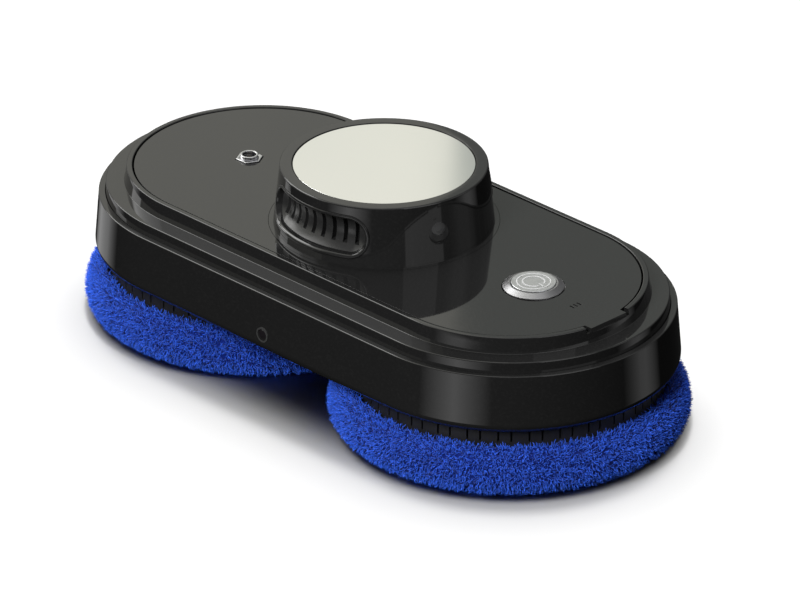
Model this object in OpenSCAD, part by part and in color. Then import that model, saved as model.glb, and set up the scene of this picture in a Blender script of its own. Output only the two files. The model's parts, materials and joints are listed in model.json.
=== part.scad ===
// Window cleaning robot with two round wiping pads and a suction fan in its grip.
// The origin is on the floor under the middle of the body. X runs through both wheels, with the
// power button at +X, the side sensor looks along -Y, and +Z is up.

/* [Body outline] */
// Radius of the round ends where the skirt is widest
skirt_r = 71.2; // [70:0.1:73]
// Height of the skirt wall between its lower edge rounding and its ledge
skirt_h = 21.8; // [20:0.1:22.6]
// How far the skirt wall leans in over its height
skirt_flare = 1.8; // [1:0.1:2.6]
// Radius of the rounded lower edge
lower_edge_r = 4.2; // [3:0.1:4.6]
// Width of the ledge on top of the skirt
ledge_w = 2.9; // [2.4:0.1:3.4]
// Height of the shoulder above the ledge
shoulder_h = 4.8; // [4.2:0.1:5.6]
// How far the shoulder leans in over its height
shoulder_draft = 0.4; // [0.1:0.1:0.8]
// Width of the flat terrace around the lip
terrace_w = 7.6; // [6:0.1:8.4]
// Height of the lip above the terrace
lip_h = 6.8; // [6:0.1:7.6]
// How far the lip leans in over its height
lip_draft = 1.2; // [0.6:0.1:1.6]
// Width of the flat top of the lip
lip_w = 2.4; // [2:0.1:3]
// Wall of the moulded shells
shell_wall = 2.2; // [1.8:0.1:2.4]
// Rounding of the outer edges of the shells
edge_round = 0.5; // [0.3:0.1:0.7]

/* [Deck] */
// Thickness of the deck plate
deck_t = 2; // [1.6:0.1:2.2]
// Open groove between the deck plate and the lip
deck_gap = 0.7; // [0.4:0.1:1]
// How far the deck plate lies below the rim
deck_drop = 0.4; // [0.2:0.1:0.6]
// Width of the tab that crosses the lip at the button end
tab_w = 27; // [20:1:32]
// Number of sound slits over the buzzer
slit_count = 3; // [2:1:4]
// Length of one sound slit
slit_l = 2.6; // [2:0.1:3.2]
// Width of one sound slit
slit_w = 0.8; // [0.6:0.1:1]

/* [Handle] */
// Width of the deck between the flush ring around the handle and the groove at its edge
handle_land_w = 5.7; // [5.3:0.1:6.3]
// How far the wall of the handle leans in over its height
handle_lean = 2.9; // [2.2:0.1:3.6]
// Height of the handle above the deck
handle_h = 26.2; // [25:0.1:28]
// Width of the flush ring around the foot of the handle
collar_w = 1.9; // [1.4:0.1:2.2]
// Width of the handle's top around the mirror disc
mirror_land_w = 5.5; // [4.8:0.1:7.5]
// Thickness of the mirror disc
mirror_t = 1.7; // [1.4:0.1:1.7]

/* [Finger grips] */
// Half the height of the finger opening
grip_half_h = 9.3; // [8.4:0.1:9.6]
// Depth of the hollow into the side of the handle
grip_depth = 5.2; // [4.6:0.1:5.6]
// Height of the middle of the hollow above the deck
grip_up = 12.6; // [12.4:0.1:13.2]
// Half the angle around the handle between the middles of the opening's round ends
grip_half_angle = 26; // [20:1:28]
// Wall of the grip insert and of the rim around its opening
grip_wall = 1; // [0.8:0.1:1.4]
// How far the rim of the opening stands proud of the handle
grip_proud = 0.5; // [0.3:0.1:0.7]
// Number of air slots in each grip
vent_count = 9; // [5:2:9]
// Angle between two air slots
vent_pitch = 7.5; // [6:0.5:7.5]
// Width of an air slot
vent_w = 1.5; // [1:0.1:2]

/* [Power button] */
// Width of the deck between the bezel and the end of the deck
deck_end_w = 27.8; // [26:0.1:31]
// Outer radius of the metal bezel
bezel_r = 12.9; // [12:0.1:13.4]
// Height of the bezel above the deck
bezel_h = 1.9; // [1.4:0.1:2.4]
// Radius of the push cap
cap_r = 9.4; // [9:0.1:9.6]
// Travel of the push cap
cap_travel = 1.2; // [0.8:0.1:1.2]

/* [Power inlet] */
// Distance of the inlet from the end of the deck
inlet_in = 46.7; // [45:0.1:49]
// Outer radius of the socket tube
socket_r = 3.9; // [3.7:0.1:4.1]
// Bore radius of the socket tube
socket_bore_r = 2.9; // [2.7:0.1:3]
// Depth of the socket bore down to its contact
socket_depth = 7; // [6:0.5:8]
// Height of the socket tube above the deck
socket_up = 1.5; // [1:0.1:2]

/* [Wheels] */
// How far the slotted clip ring stands in from the foot of the skirt
clip_inset = 0.1; // [0:0.1:1]
// Height of the clip ring above the rim of the pad
clip_show = 6.3; // [5.8:0.1:7]
// Running gap between the clip ring and the body
body_gap = 0.6; // [0.4:0.1:1]
// Number of slot pairs around the clip ring
clip_pairs = 32; // [24:1:36]
// Width of a slot in the clip ring
clip_slot_w = 0.8; // [0.6:0.1:1]
// Thickness of the wheel disc's floor
disc_t = 2.5; // [2:0.1:3]
// Radius of the wheel hub inside the body
hub_r = 16; // [15:0.1:16.5]
// Thickness of the hook ring that holds the pad
hook_t = 1.2; // [0.8:0.1:1.6]
// Radial clearance of the wheel hub on its sleeve
run_gap = 0.05; // [0.03:0.01:0.09]

/* [Pads] */
// Height of a pad at its rim
pad_h = 21.5; // [19:0.1:22]
// How far a pad reaches out past the skirt
pad_over = 3; // [2:0.1:4]
// Thickness of the pad under the wheel
pad_floor = 10; // [9:0.1:11]
// Radius of the suction chamber in the middle of a pad
pad_hole_r = 24; // [22:0.5:26]
// Height above the floor where a pad is widest
pad_wide_z = 8.3; // [7:0.1:9.5]
// Clearance of each pad to the middle of the robot
pad_clear = 0.3; // [0.3:0.05:0.8]

/* [Drive] */
// Gap between a drive motor and the inner wall of the lip
motor_side_gap = 2.9; // [2.4:0.1:5]
// Teeth on a wheel gear
gear_teeth = 68; // [62:1:68]
// Teeth on a motor pinion
pinion_teeth = 12; // [12:1:13]
// Face width of the gears
gear_t = 6; // [5:0.5:6]
// Radius of a drive motor
motor_r = 12; // [10:0.5:12.5]
// Length of a drive motor
motor_h = 17; // [14:0.5:18]

/* [Suction] */
// Outer radius of the sleeves that the wheels turn on
sleeve_r = 12; // [11.6:0.1:12.2]
// Bore radius of the sleeves
sleeve_bore_r = 9.5; // [8.5:0.1:10]
// Outer width of the suction duct
duct_w = 30; // [24:0.5:32]
// Outer height of the suction duct
duct_h = 10.5; // [9:0.1:10.5]
// Radius of the fan wheel
fan_r = 24; // [20:0.5:25]
// Number of blades on the fan wheel
blade_count = 9; // [7:1:11]
// Radius of the fan motor
fan_motor_r = 14; // [12:0.5:15]
// Height of the fan motor
fan_motor_h = 15; // [12:0.5:16]

/* [Battery and board] */
// Radius of one battery cell
cell_r = 5; // [4:0.1:5.2]
// Depth of the main board from front to back
board_d = 36; // [28:1:38]

/* [Hidden] */
$fn = 96;

// Gap between shells that sit in one another
fit_gap = 0.15;
// Overrun of every cut past the face it leaves by
over = 1;

// Radius of a pad, the wheel axles, and the heights of the stepped outline from the pads up
pad_r = skirt_r + pad_over;
axle_x = pad_r + pad_clear;
clip_top = pad_h + clip_show;
base_z = clip_top + body_gap;
edge_z = base_z + lower_edge_r;
ledge_z = edge_z + skirt_h;
terrace_z = ledge_z + shoulder_h;
rim_z = terrace_z + lip_h;

// Radii of the stepped outline, from the skirt in
ledge_r = skirt_r - skirt_flare;
shoulder_base_r = ledge_r - ledge_w;
shoulder_r = shoulder_base_r - shoulder_draft;
lip_base_r = shoulder_r - terrace_w;
lip_r = lip_base_r - lip_draft;
well_r = lip_r - lip_w;
deck_r = well_r - deck_gap;
deck_z = rim_z - deck_drop;
deck_under = deck_z - deck_t;
edge_steps = 3;
lower_edge_steps = 8;

// Foot of the skirt, the base plate in it and the bosses that take its screws
foot_w = 1.4;
skirt_foot_r = skirt_r - lower_edge_r - foot_w;
base_t = 2.6;
base_r = skirt_foot_r - fit_gap - fit_gap / 2;
base_top = base_z + base_t;
boss_r = 3.6;
boss_h = 12;
boss_line_r = base_r - boss_r - edge_round;
boss_rib_t = 2;
boss_rib_end_r = skirt_r - shell_wall - edge_round;
boss_side_x = 40;
boss_end_angle = 45;
screw_r = 1.5;
screw_hole_r = screw_r + fit_gap / 2;
screw_head_r = 2.9;
screw_head_t = 1.6;
screw_l = 9;

// Hook of the top frame under the skirt's ledge, and its seat for the deck plate
hook_reach = 0.7;
hook_drop = 2.2;
gasket_t = 0.4;
gasket_w = 2;
seat_z = deck_under - gasket_t;
seat_w = 3.2;
seat_t = 2;
tab_gap = 0.3;

// Handle: foot, collar under it, mirror and the plate that carries the mirror
handle_r = deck_r - handle_land_w - collar_w;
handle_top_r = handle_r - handle_lean;
mirror_r = handle_top_r - mirror_land_w;
handle_top = deck_z + handle_h;
handle_wall = 2.2;
handle_foot_w = 5.6;
handle_foot_h = 2;
handle_edge_r = 0.8;
collar_r = handle_r + collar_w;
collar_bore_r = handle_r - handle_foot_w + fit_gap;
collar_flange_w = 2;
collar_flange_t = 1.8;
collar_hole_r = collar_r + fit_gap;
mirror_gap = 0.4;
mirror_drop = 0.3;
mirror_seat_z = handle_top - mirror_drop - mirror_t;
top_plate_t = 2;
top_plate_w = 2.4;
handle_screw_r = 1.2;
handle_screw_head_r = 2.3;
handle_screw_head_t = 1.4;
handle_screw_line_r = handle_r - handle_foot_w / 2;
handle_screw_count = 4;

// Finger hollow: a rounded groove around the handle behind an opening with two round ends
grip_z = deck_z + grip_up;
grip_face_r = handle_r - (handle_r - handle_top_r) * grip_up / handle_h;
grip_r = (grip_half_h * grip_half_h + grip_depth * grip_depth) / (2 * grip_depth);
grip_core_r = grip_face_r - grip_depth + grip_r;
grip_in_r = grip_core_r - grip_r;
opening_in_r = grip_in_r - 4 * grip_wall;
opening_out_r = handle_r + 4 * grip_wall;
opening_trim = 0.5;
groove_extra_angle = 18;
vent_top_share = 0.62;
vent_bottom_share = 0.42;
vent_in_share = 0.2;

// Power button: threaded bezel, nut, switch and the guided cap
button_x = axle_x + deck_r - deck_end_w - bezel_r;
bezel_hole_r = bezel_r + deck_gap / 2;
bezel_thread_r = 11;
bezel_depth = 8.5;
cap_gap = 0.08;
bezel_bore_r = cap_r + cap_gap;
bezel_slope_w = 2.6;
bezel_rim_h = 0.5;
bezel_shoulder_drop = 2.6;
bezel_cup_r = 10.2;
cap_up = 0.4;
cap_top = deck_z + bezel_h + cap_up;
cap_t = 2;
cap_lip_h = 0.7;
cap_lip_w = 0.5;
cap_skirt_wall = 1.2;
plunger_r = 1.8;
shoulder_gap = 0.04;
cap_lip_top = deck_z - bezel_shoulder_drop - shoulder_gap;
ring_line_r = 7;
ring_line_w = 0.5;
symbol_line_r = 4.6;
symbol_line_w = 0.6;
symbol_gap_angle = 40;
symbol_bar_l = 2.6;
inlay_t = 0.5;
inlay_proud = 0.1;
button_nut_r = 14.6;
button_nut_t = 2.6;
switch_t = 1.8;
dome_r = 1.4;
dome_h = 0.5;
plunger_bottom = deck_z - bezel_depth + switch_t + dome_h + cap_travel + shoulder_gap;
spring_wire = 0.5;
spring_line_r = 3.2;
spring_turns = 3.5;
spring_end_gap = 0.1;
spring_ring_steps = 12;
spring_sides = 6;
spring_bottom = deck_z - bezel_depth + switch_t + spring_end_gap + spring_wire / 2;
spring_top = cap_top - cap_t - spring_end_gap - spring_wire / 2;

// Power inlet: hexagonal pocket in the deck, nut, washer and the contact let into the bore's floor
inlet_x = -(axle_x + deck_r - inlet_in);
pocket_r = 6.3;
socket_nut_r = 5.9;
socket_nut_t = 2.2;
socket_nut_up = 0.5;
socket_floor = 1.4;
socket_top = deck_z + socket_up;
contact_r = 0.9;
contact_h = 0.9;
washer_r = 7.6;
washer_t = 1.2;

// Buzzer under its slits
buzzer_place_share = 0.59;
buzzer_x = axle_x + deck_r - buzzer_place_share * deck_end_w;
buzzer_r = 6;
buzzer_h = 4;
buzzer_port_r = 1.6;
buzzer_port_depth = 1;
slit_pitch = 2;

// Side sensor in the front of the skirt
sensor_up = 3.8;
sensor_z = edge_z + sensor_up;
sensor_y = skirt_r - skirt_flare * sensor_up / skirt_h;
sensor_hole_r = 3.5;
sensor_bezel_r = 3.3;
sensor_lens_r = 2.5;
sensor_flange_r = 4.9;
sensor_flange_t = 1.8;
sensor_depth = 5;
sensor_proud = 0.3;

// Wheel: slotted clip ring, disc with ribs, hook ring under it, hub through the base plate
clip_r = skirt_foot_r - clip_inset;
hook_bottom = pad_floor;
disc_bottom = hook_bottom + hook_t;
disc_floor_top = disc_bottom + disc_t;
clip_wall = 2.2;
clip_gap = 0.5;
clip_flange_w = 7.5;
clip_flange_t = 2;
rim_r = clip_r - clip_wall - clip_gap;
rim_wall = 2.5;
clip_flange_bottom = clip_top - clip_flange_t;
slot_bottom_up = 0.9;
slot_top_down = 0.8;
slot_bottom = pad_h + slot_bottom_up;
slot_top = clip_top - slot_top_down;
slot_phase = 0.4;
slot_split_share = 0.58;
rib_count = 12;
rib_t = 1.6;
rib_h = 4.5;
rib_ring_share = 0.62;
hub_bore_r = sleeve_r + run_gap;
washer_gap = 0.1;
thrust_t = 1;
hub_step_z = base_z - thrust_t - washer_gap;
hub_shoulder_w = 2;
hub_shoulder_r = hub_r + hub_shoulder_w;
hub_foot_w = 6;
hub_foot_r = hub_shoulder_r + hub_foot_w;
hub_hole_r = hub_shoulder_r + clip_gap;
hook_in_w = 2;
hook_in_r = pad_hole_r + hook_in_w;
hook_out_r = rim_r - clip_gap;
ring_screw_count = 6;
ring_screw_r = 0.9;
ring_screw_head_r = 1.8;
ring_screw_head_t = 0.9;
ring_screw_l = 7;
ring_screw_line_r = rim_r - rim_wall / 2;
ring_screw_sink = 0.05;

// Pad: crowned outside, floor under the wheel and a rim that rises around the clip ring
pad_slack = 0.5;
pad_in_r = clip_r + pad_slack;
pad_crown_r = 1.2;
pad_under_w = 9;
pad_hole_round = 3;
pad_steps = 12;

// Gears and the covers over them
pinion_y = well_r - motor_r - motor_side_gap;
gear_module = 2 * pinion_y / (gear_teeth + pinion_teeth);
gear_pitch_r = gear_module * gear_teeth / 2;
pinion_pitch_r = gear_module * pinion_teeth / 2;
gear_tip_share = 0.7;
gear_root_share = 1.25;
pinion_tip_share = 1;
pinion_root_share = 1;
pressure_angle = 20;
backlash_share = 0.1;
flank_steps = 3;
gear_lift = 2;
gear_bottom = base_top + gear_lift;
gear_top = gear_bottom + gear_t;
gear_clip_t = 1;
gear_clip_w = 2.2;
clip_groove = 0.8;
hub_top = gear_top + gear_clip_t + gear_clip_t;
cover_gap = 1.5;
cover_wall = 2;
cover_roof = 2;
cover_in_r = gear_pitch_r + gear_module * gear_tip_share + cover_gap + gear_module;
cover_r = cover_in_r + cover_wall;
pinion_room_r = pinion_pitch_r + gear_module + cover_gap;
roof_under = hub_top + clip_gap;
roof_top = roof_under + cover_roof;
motor_shaft_r = 1.5;
shaft_gap = 0.03;
motor_hole_r = 4;
motor_nose_r = 3.8;
motor_plate_r = motor_r + 1.4 * screw_r;
shaft_in_motor = 8;
shaft_below = 0.8;
motor_cap_r = 9;
motor_cap_h = 1;

// Suction sleeves, their nuts and the duct to the fan
sleeve_flange_w = 3;
sleeve_flange_r = sleeve_r + sleeve_flange_w;
sleeve_flange_t = 1.4;
sleeve_gap = 0.1;
sleeve_bottom = disc_bottom - sleeve_gap - sleeve_flange_t;
sleeve_top = roof_top + 3.2;
nut_w = 3.6;
nut_r = sleeve_r + nut_w;
nut_t = 2.6;
duct_wall = 1.6;
duct_end_r = nut_r + duct_wall + deck_gap;
duct_bottom = roof_top;
duct_top = duct_bottom + duct_h;
duct_middle_r = 20;
duct_eye_r = 12;
duct_foot_r = 8;
collar_post_r = 3;
collar_post_angle = 38;
collar_post_line_r = handle_r - collar_post_r / 5;

// Fan: housing on the duct, wheel inside it, motor on top of it
housing_t = 1.6;
housing_gap = 1.5;
housing_r = fan_r + housing_gap + housing_t;
fan_lift = 0.7;
fan_h = 9;
fan_plate_t = 1;
fan_hub_r = 4.5;
fan_in_share = 0.5;
blade_t = 1.2;
blade_sweep = -38;
blade_steps = 6;
housing_floor_top = duct_top + housing_t;
fan_bottom = housing_floor_top + fan_lift;
fan_top = fan_bottom + fan_h;
outlet_h = 4.2;
outlet_post_count = 8;
outlet_post_angle = 8;
housing_roof_z = fan_top + fan_lift;
fan_motor_bottom = housing_roof_z + housing_t;
fan_shaft_r = 1.6;
fan_shaft_below = 0.6;
fan_shaft_in = 9;
motor_fin_count = 16;
motor_fin_depth = 0.8;
motor_fin_w = 1.4;

// Battery, its case and the main board on its posts
side_room = 2;
case_l = 2 * (axle_x - cover_r - side_room);
case_wall = 1.2;
cell_gap = 0.2;
cell_pitch = 2 * cell_r + cell_gap;
case_d = 2 * cell_pitch + cell_gap + 2 * case_wall;
case_h = 2 * cell_pitch + cell_gap + case_wall;
case_in = 9.5;
case_y = -(skirt_r - shell_wall - case_in - case_d / 2);
cell_tip_r = 1.8;
cell_tip_h = 0.8;
board_side_gap = 1.9;
board_w = 2 * (collar_post_line_r * cos(collar_post_angle) - collar_post_r - board_side_gap);
board_in = 12;
board_y = skirt_r - shell_wall - board_in - board_d / 2;
board_t = 1.6;
board_up = 6;
board_z = base_top + board_up;
board_post_r = 2.6;
board_pin_r = 1.1;
board_hole_r = board_pin_r + fit_gap;
board_edge = 4;
board_pin_up = 0.8;

// Chip, driver, socket and capacitor places as shares of the board's width and depth
chip_place_share = [-0.05, 0.05];
chip_size_share = [0.22, 0.38];
driver_places_share = [[-0.32, -0.12], [0.22, -0.12]];
driver_size_share = [0.12, 0.2];
plug_place_share = [-0.02, 0.4];
plug_size_share = [0.42, 0.14];
capacitor_places_share = [[0.3, 0.18], [-0.3, 0.2]];
chip_h = 1.4;
plug_h = 6;
capacitor_r = 3.6;
capacitor_h = 9;

function arc(middle, radius, from, to, steps) = [
    for (i = [0:steps])
        let (a = from + (to - from) * i / steps)
        middle + radius * [cos(a), sin(a)]
];

function oval(middle, half_w, half_h, from, to, steps) = [
    for (i = [0:steps])
        let (a = from + (to - from) * i / steps)
        middle + [half_w * cos(a), half_h * sin(a)]
];

function skirt_outline() = concat(
    [[skirt_foot_r, base_z]],
    arc([skirt_r - lower_edge_r, edge_z], lower_edge_r, -90, 0, lower_edge_steps),
    arc([ledge_r - edge_round, ledge_z - edge_round], edge_round, 0, 90, edge_steps),
    [
        [shoulder_base_r + fit_gap, ledge_z],
        [shoulder_base_r + fit_gap, ledge_z - shell_wall],
        [ledge_r - shell_wall, ledge_z - shell_wall],
        [skirt_r - shell_wall, edge_z],
        [skirt_r - lower_edge_r, base_top],
        [skirt_foot_r, base_top]
    ]
);

function frame_outline() = concat(
    [
        [shoulder_base_r - shell_wall, ledge_z - shell_wall - hook_drop],
        [shoulder_base_r + hook_reach, ledge_z - shell_wall - hook_drop],
        [shoulder_base_r + hook_reach, ledge_z - shell_wall],
        [shoulder_base_r, ledge_z - shell_wall],
        [shoulder_base_r, ledge_z]
    ],
    arc([shoulder_r - edge_round, terrace_z - edge_round], edge_round, 0, 90, edge_steps),
    [[lip_base_r, terrace_z]],
    arc([lip_r - edge_round, rim_z - edge_round], edge_round, 0, 90, edge_steps),
    [
        [well_r, rim_z],
        [well_r, seat_z],
        [well_r - seat_w, seat_z],
        [well_r - seat_w, seat_z - seat_t],
        [lip_base_r - shell_wall, seat_z - seat_t],
        [lip_base_r - shell_wall, terrace_z - shell_wall],
        [shoulder_r - shell_wall, terrace_z - shell_wall]
    ]
);

function handle_outline() = concat(
    [
        [handle_r - handle_foot_w, deck_z],
        [handle_r, deck_z]
    ],
    arc([handle_top_r - handle_edge_r, handle_top - handle_edge_r], handle_edge_r, 0, 90, edge_steps),
    [
        [mirror_r + mirror_gap, handle_top],
        [mirror_r + mirror_gap, mirror_seat_z],
        [handle_top_r - handle_wall, mirror_seat_z],
        [handle_r - handle_wall, deck_z + handle_foot_h],
        [handle_r - handle_foot_w, deck_z + handle_foot_h]
    ]
);

// Radius of the handle's side at a height
function handle_side_r(z) = handle_r - (handle_r - handle_top_r) * (z - deck_z) / handle_h;

// Band of the rim that surrounds each finger opening, inside and proud of the handle's side
function grip_rim_band() =
    let (low = grip_z - grip_half_h - 2 * grip_wall)
    let (high = grip_z + grip_half_h + 2 * grip_wall)
    let (step = mirror_seat_z - top_plate_t - fit_gap)
    [
        [grip_in_r - grip_wall, low],
        [handle_side_r(low) + grip_proud, low],
        [handle_side_r(high) + grip_proud, high],
        [handle_top_r - handle_wall, high],
        [handle_top_r - handle_wall, step],
        [grip_in_r - grip_wall, step]
    ];

function pad_outline() = concat(
    arc([pad_hole_r + pad_hole_round, pad_hole_round], pad_hole_round, 180, 270, edge_steps),
    oval([pad_r - pad_under_w, pad_wide_z], pad_under_w, pad_wide_z, -90, 0, pad_steps),
    oval([pad_in_r + pad_crown_r, pad_wide_z], pad_r - pad_in_r - pad_crown_r, pad_h - pad_wide_z,
         0, 90, pad_steps),
    arc([pad_in_r + pad_crown_r, pad_h - pad_crown_r], pad_crown_r, 90, 180, edge_steps),
    [[pad_in_r, pad_floor], [pad_hole_r, pad_floor]]
);

// Involute function of an angle, in degrees
function inv(a) = tan(a) * 180 / PI - a;

// Half the angle that a tooth fills at a radius
function tooth_half(radius, teeth, pitch_r) =
    let (base_circle_r = pitch_r * cos(pressure_angle))
    let (a = radius > base_circle_r ? acos(base_circle_r / radius) : 0)
    90 / teeth * (1 - backlash_share) + inv(pressure_angle) - inv(a);

function gear_points(teeth, root_r, tip_r, pitch_r) =
    let (flank = [for (i = [0:flank_steps]) root_r + (tip_r - root_r) * i / flank_steps])
    [
        for (k = [0:teeth - 1], side = [-1, 1], i = [0:flank_steps])
            let (radius = flank[side < 0 ? i : flank_steps - i])
            let (a = 360 * k / teeth + side * tooth_half(radius, teeth, pitch_r))
            radius * [cos(a), sin(a)]
    ];

function blade_point(share, side) =
    let (radius = fan_r * fan_in_share + (fan_r * (1 - fan_in_share) - edge_round) * share)
    let (a = blade_sweep * share + side * blade_t / radius * 90 / PI)
    radius * [cos(a), sin(a)];

// One point of the button spring's wire: around the coil by share, around the wire by side
function spring_point(share, side) =
    let (a = 360 * spring_turns * share)
    let (b = 360 * side / spring_sides)
    let (radius = spring_line_r + spring_wire / 2 * cos(b))
    [
        radius * cos(a),
        radius * sin(a),
        spring_bottom + (spring_top - spring_bottom) * share + spring_wire / 2 * sin(b)
    ];

// Turns a half section of radius and height into a ring or plate with two round ends
module racetrack() {
    for (turn = [0, 180])
        rotate(turn) {
            translate([axle_x, 0, 0])
                rotate(-90)
                    rotate_extrude(angle = 180)
                        children();
            translate([-axle_x, 0, 0])
                rotate([90, 0, 90])
                    linear_extrude(2 * axle_x)
                        children();
        }
}

module tube(outer_r, inner_r, bottom, top) {
    translate([0, 0, bottom])
        difference() {
            cylinder(r = outer_r, h = top - bottom);
            translate([0, 0, -over])
                cylinder(r = inner_r, h = top - bottom + 2 * over);
        }
}

module rod(radius, bottom, top) {
    translate([0, 0, bottom])
        cylinder(r = radius, h = top - bottom);
}

module hex_rod(radius, bottom, top) {
    translate([0, 0, bottom])
        cylinder(r = radius, h = top - bottom, $fn = 6);
}

module around(count, radius, phase = 0) {
    for (i = [0:count - 1])
        rotate(phase + 360 * i / count)
            translate([radius, 0, 0])
                children();
}

module at_axle(side) {
    rotate(side > 0 ? 0 : 180)
        translate([axle_x, 0, 0])
            children();
}

module at_pinion(side) {
    at_axle(side)
        translate([0, -pinion_y, 0])
            children();
}

module at_button() {
    translate([button_x, 0, 0])
        children();
}

module at_inlet() {
    translate([inlet_x, 0, 0])
        children();
}

// Places of the bosses and screws around the skirt, with X pointing out of the body
module at_bosses() {
    for (turn = [0, 180])
        rotate(turn) {
            for (x = [-boss_side_x, boss_side_x])
                translate([x, -boss_line_r, 0])
                    rotate(-90)
                        children();
            translate([axle_x, 0, 0])
                for (a = [-boss_end_angle, boss_end_angle])
                    rotate(a)
                        translate([boss_line_r, 0, 0])
                            children();
        }
}

module outer_skirt() {
    color([0.07, 0.07, 0.07])
        difference() {
            union() {
                racetrack()
                    polygon(skirt_outline());
                at_bosses() {
                    rod(boss_r, base_top, base_top + boss_h);
                    translate([0, -boss_rib_t / 2, base_top])
                        cube([boss_rib_end_r - boss_line_r, boss_rib_t, boss_h]);
                }
            }
            at_bosses()
                rod(screw_hole_r, base_top - over, base_top + screw_l);
            translate([0, 0, sensor_z])
                rotate([90, 0, 0])
                    rod(sensor_hole_r, sensor_y - sensor_depth, sensor_y + over);
        }
}

module top_frame() {
    color([0.09, 0.09, 0.09])
        difference() {
            racetrack()
                polygon(frame_outline());
            translate([axle_x + well_r - over, -tab_w / 2 - tab_gap, deck_under])
                translate([-seat_w, 0, 0])
                    cube([seat_w + lip_w + lip_draft + 2 * over, tab_w + 2 * tab_gap, deck_t + 2 * over]);
        }
}

module deck_plate() {
    color([0.3, 0.3, 0.29])
        difference() {
            union() {
                racetrack()
                    polygon([
                        [0, deck_under],
                        [deck_r, deck_under],
                        [deck_r, deck_z - edge_round / 2],
                        [deck_r - edge_round / 2, deck_z],
                        [0, deck_z]
                    ]);
                intersection() {
                    translate([axle_x, 0, 0])
                        rod(lip_r, deck_under, deck_z);
                    translate([axle_x, -tab_w / 2, deck_under])
                        cube([lip_r, tab_w, deck_t]);
                }
            }
            rod(collar_hole_r, deck_under - over, deck_z + over);
            at_button()
                rod(bezel_hole_r, deck_under - over, deck_z + over);
            at_inlet()
                hex_rod(pocket_r, deck_under - over, deck_z + over);
            for (i = [0:slit_count - 1])
                translate([buzzer_x - slit_l / 2, slit_pitch * (i - (slit_count - 1) / 2) - slit_w / 2, 0])
                    translate([0, 0, deck_under - over])
                        cube([slit_l, slit_w, deck_t + 2 * over]);
        }
}

module deck_gasket() {
    color([0.15, 0.15, 0.15])
        racetrack()
            polygon([
                [deck_r - gasket_w, seat_z],
                [deck_r, seat_z],
                [deck_r, deck_under],
                [deck_r - gasket_w, deck_under]
            ]);
}

module base_plate() {
    color([0.12, 0.12, 0.12])
        difference() {
            union() {
                racetrack()
                    polygon([[0, base_z], [base_r, base_z], [base_r, base_top], [0, base_top]]);
                for (sx = [-1, 1], sy = [-1, 1])
                    translate(collar_post_line_r * [sx * cos(collar_post_angle), sy * sin(collar_post_angle)])
                        rod(collar_post_r, base_top, deck_under - collar_flange_t);
                at_board_posts() {
                    rod(board_post_r, base_top, board_z);
                    rod(board_pin_r, board_z, board_z + board_t + board_pin_up);
                }
            }
            for (side = [-1, 1])
                at_axle(side)
                    rod(hub_hole_r, base_z - over, base_top + over);
            at_bosses() {
                rod(screw_hole_r, base_z - over, base_top + over);
                rod(screw_head_r + fit_gap, base_z - over, base_z + screw_head_t);
            }
        }
}

module base_screws() {
    color("silver")
        at_bosses()
            difference() {
                union() {
                    rod(screw_head_r, base_z, base_z + screw_head_t);
                    rod(screw_r, base_z + screw_head_t, base_top + screw_l - over);
                }
                hex_rod(screw_r, base_z - over, base_z + screw_head_t / 2);
            }
}

module handle_collar() {
    color([0.28, 0.28, 0.27])
        difference() {
            union() {
                tube(collar_r, collar_bore_r, deck_under, deck_z);
                tube(collar_r + collar_flange_w, collar_bore_r, deck_under - collar_flange_t, deck_under);
            }
            around(handle_screw_count, handle_screw_line_r)
                rod(handle_screw_r + fit_gap, deck_under - collar_flange_t - over, deck_z + over);
        }
}

// Opening with two round ends on the side that faces the given angle, grown by the given amount
module grip_opening(facing, grow, reach = 0) {
    half_h = grip_half_h + grow;
    half_angle = grip_half_angle - (reach > 0 ? opening_trim : 0);
    translate([0, 0, grip_z]) {
        rotate(facing - half_angle)
            rotate_extrude(angle = 2 * half_angle)
                translate([opening_in_r - reach, -half_h])
                    square([opening_out_r - opening_in_r + 2 * reach, 2 * half_h]);
        for (a = [facing - grip_half_angle, facing + grip_half_angle])
            rotate(a)
                rotate([0, 90, 0])
                    rod(half_h, opening_in_r - reach, opening_out_r + reach);
    }
}

// Rounded groove around the handle behind the opening, grown by the given amount
module grip_groove(facing, grow) {
    half_angle = grip_half_angle + groove_extra_angle;
    translate([0, 0, grip_z])
        rotate(facing - half_angle)
            rotate_extrude(angle = 2 * half_angle)
                translate([grip_core_r, 0])
                    circle(r = grip_r + grow);
}

module handle_shell() {
    color([0.08, 0.08, 0.08])
        difference() {
            union() {
                rotate_extrude()
                    polygon(handle_outline());
                for (facing = [-90, 90])
                    intersection() {
                        rotate_extrude()
                            polygon(grip_rim_band());
                        grip_opening(facing, grip_wall);
                    }
            }
            grip_opening(-90, 0, over);
            grip_opening(90, 0, over);
            around(handle_screw_count, handle_screw_line_r)
                rod(handle_screw_r, deck_z - over, deck_z + handle_foot_h - edge_round);
        }
}

module handle_screws() {
    color("silver")
        around(handle_screw_count, handle_screw_line_r) {
            rod(handle_screw_head_r, deck_under - collar_flange_t - handle_screw_head_t,
                deck_under - collar_flange_t);
            rod(handle_screw_r - shaft_gap, deck_under - collar_flange_t, deck_z + handle_foot_h / 2);
        }
}

// Grip insert: a thin hollow wall behind the opening, with upright air slots
module grip_insert(facing) {
    difference() {
        intersection() {
            difference() {
                grip_groove(facing, grip_wall);
                grip_groove(facing, 0);
            }
            grip_opening(facing, -fit_gap);
        }
        for (i = [0:vent_count - 1])
            rotate(facing + vent_pitch * (i - (vent_count - 1) / 2))
                translate([grip_in_r - grip_wall - over, -vent_w / 2, grip_z - grip_r * vent_bottom_share])
                    cube([
                        grip_wall + over + grip_r * vent_in_share + over,
                        vent_w,
                        grip_r * (vent_bottom_share + vent_top_share)
                    ]);
    }
}

module grip_insert_front() {
    color([0.13, 0.13, 0.13])
        grip_insert(-90);
}

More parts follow.
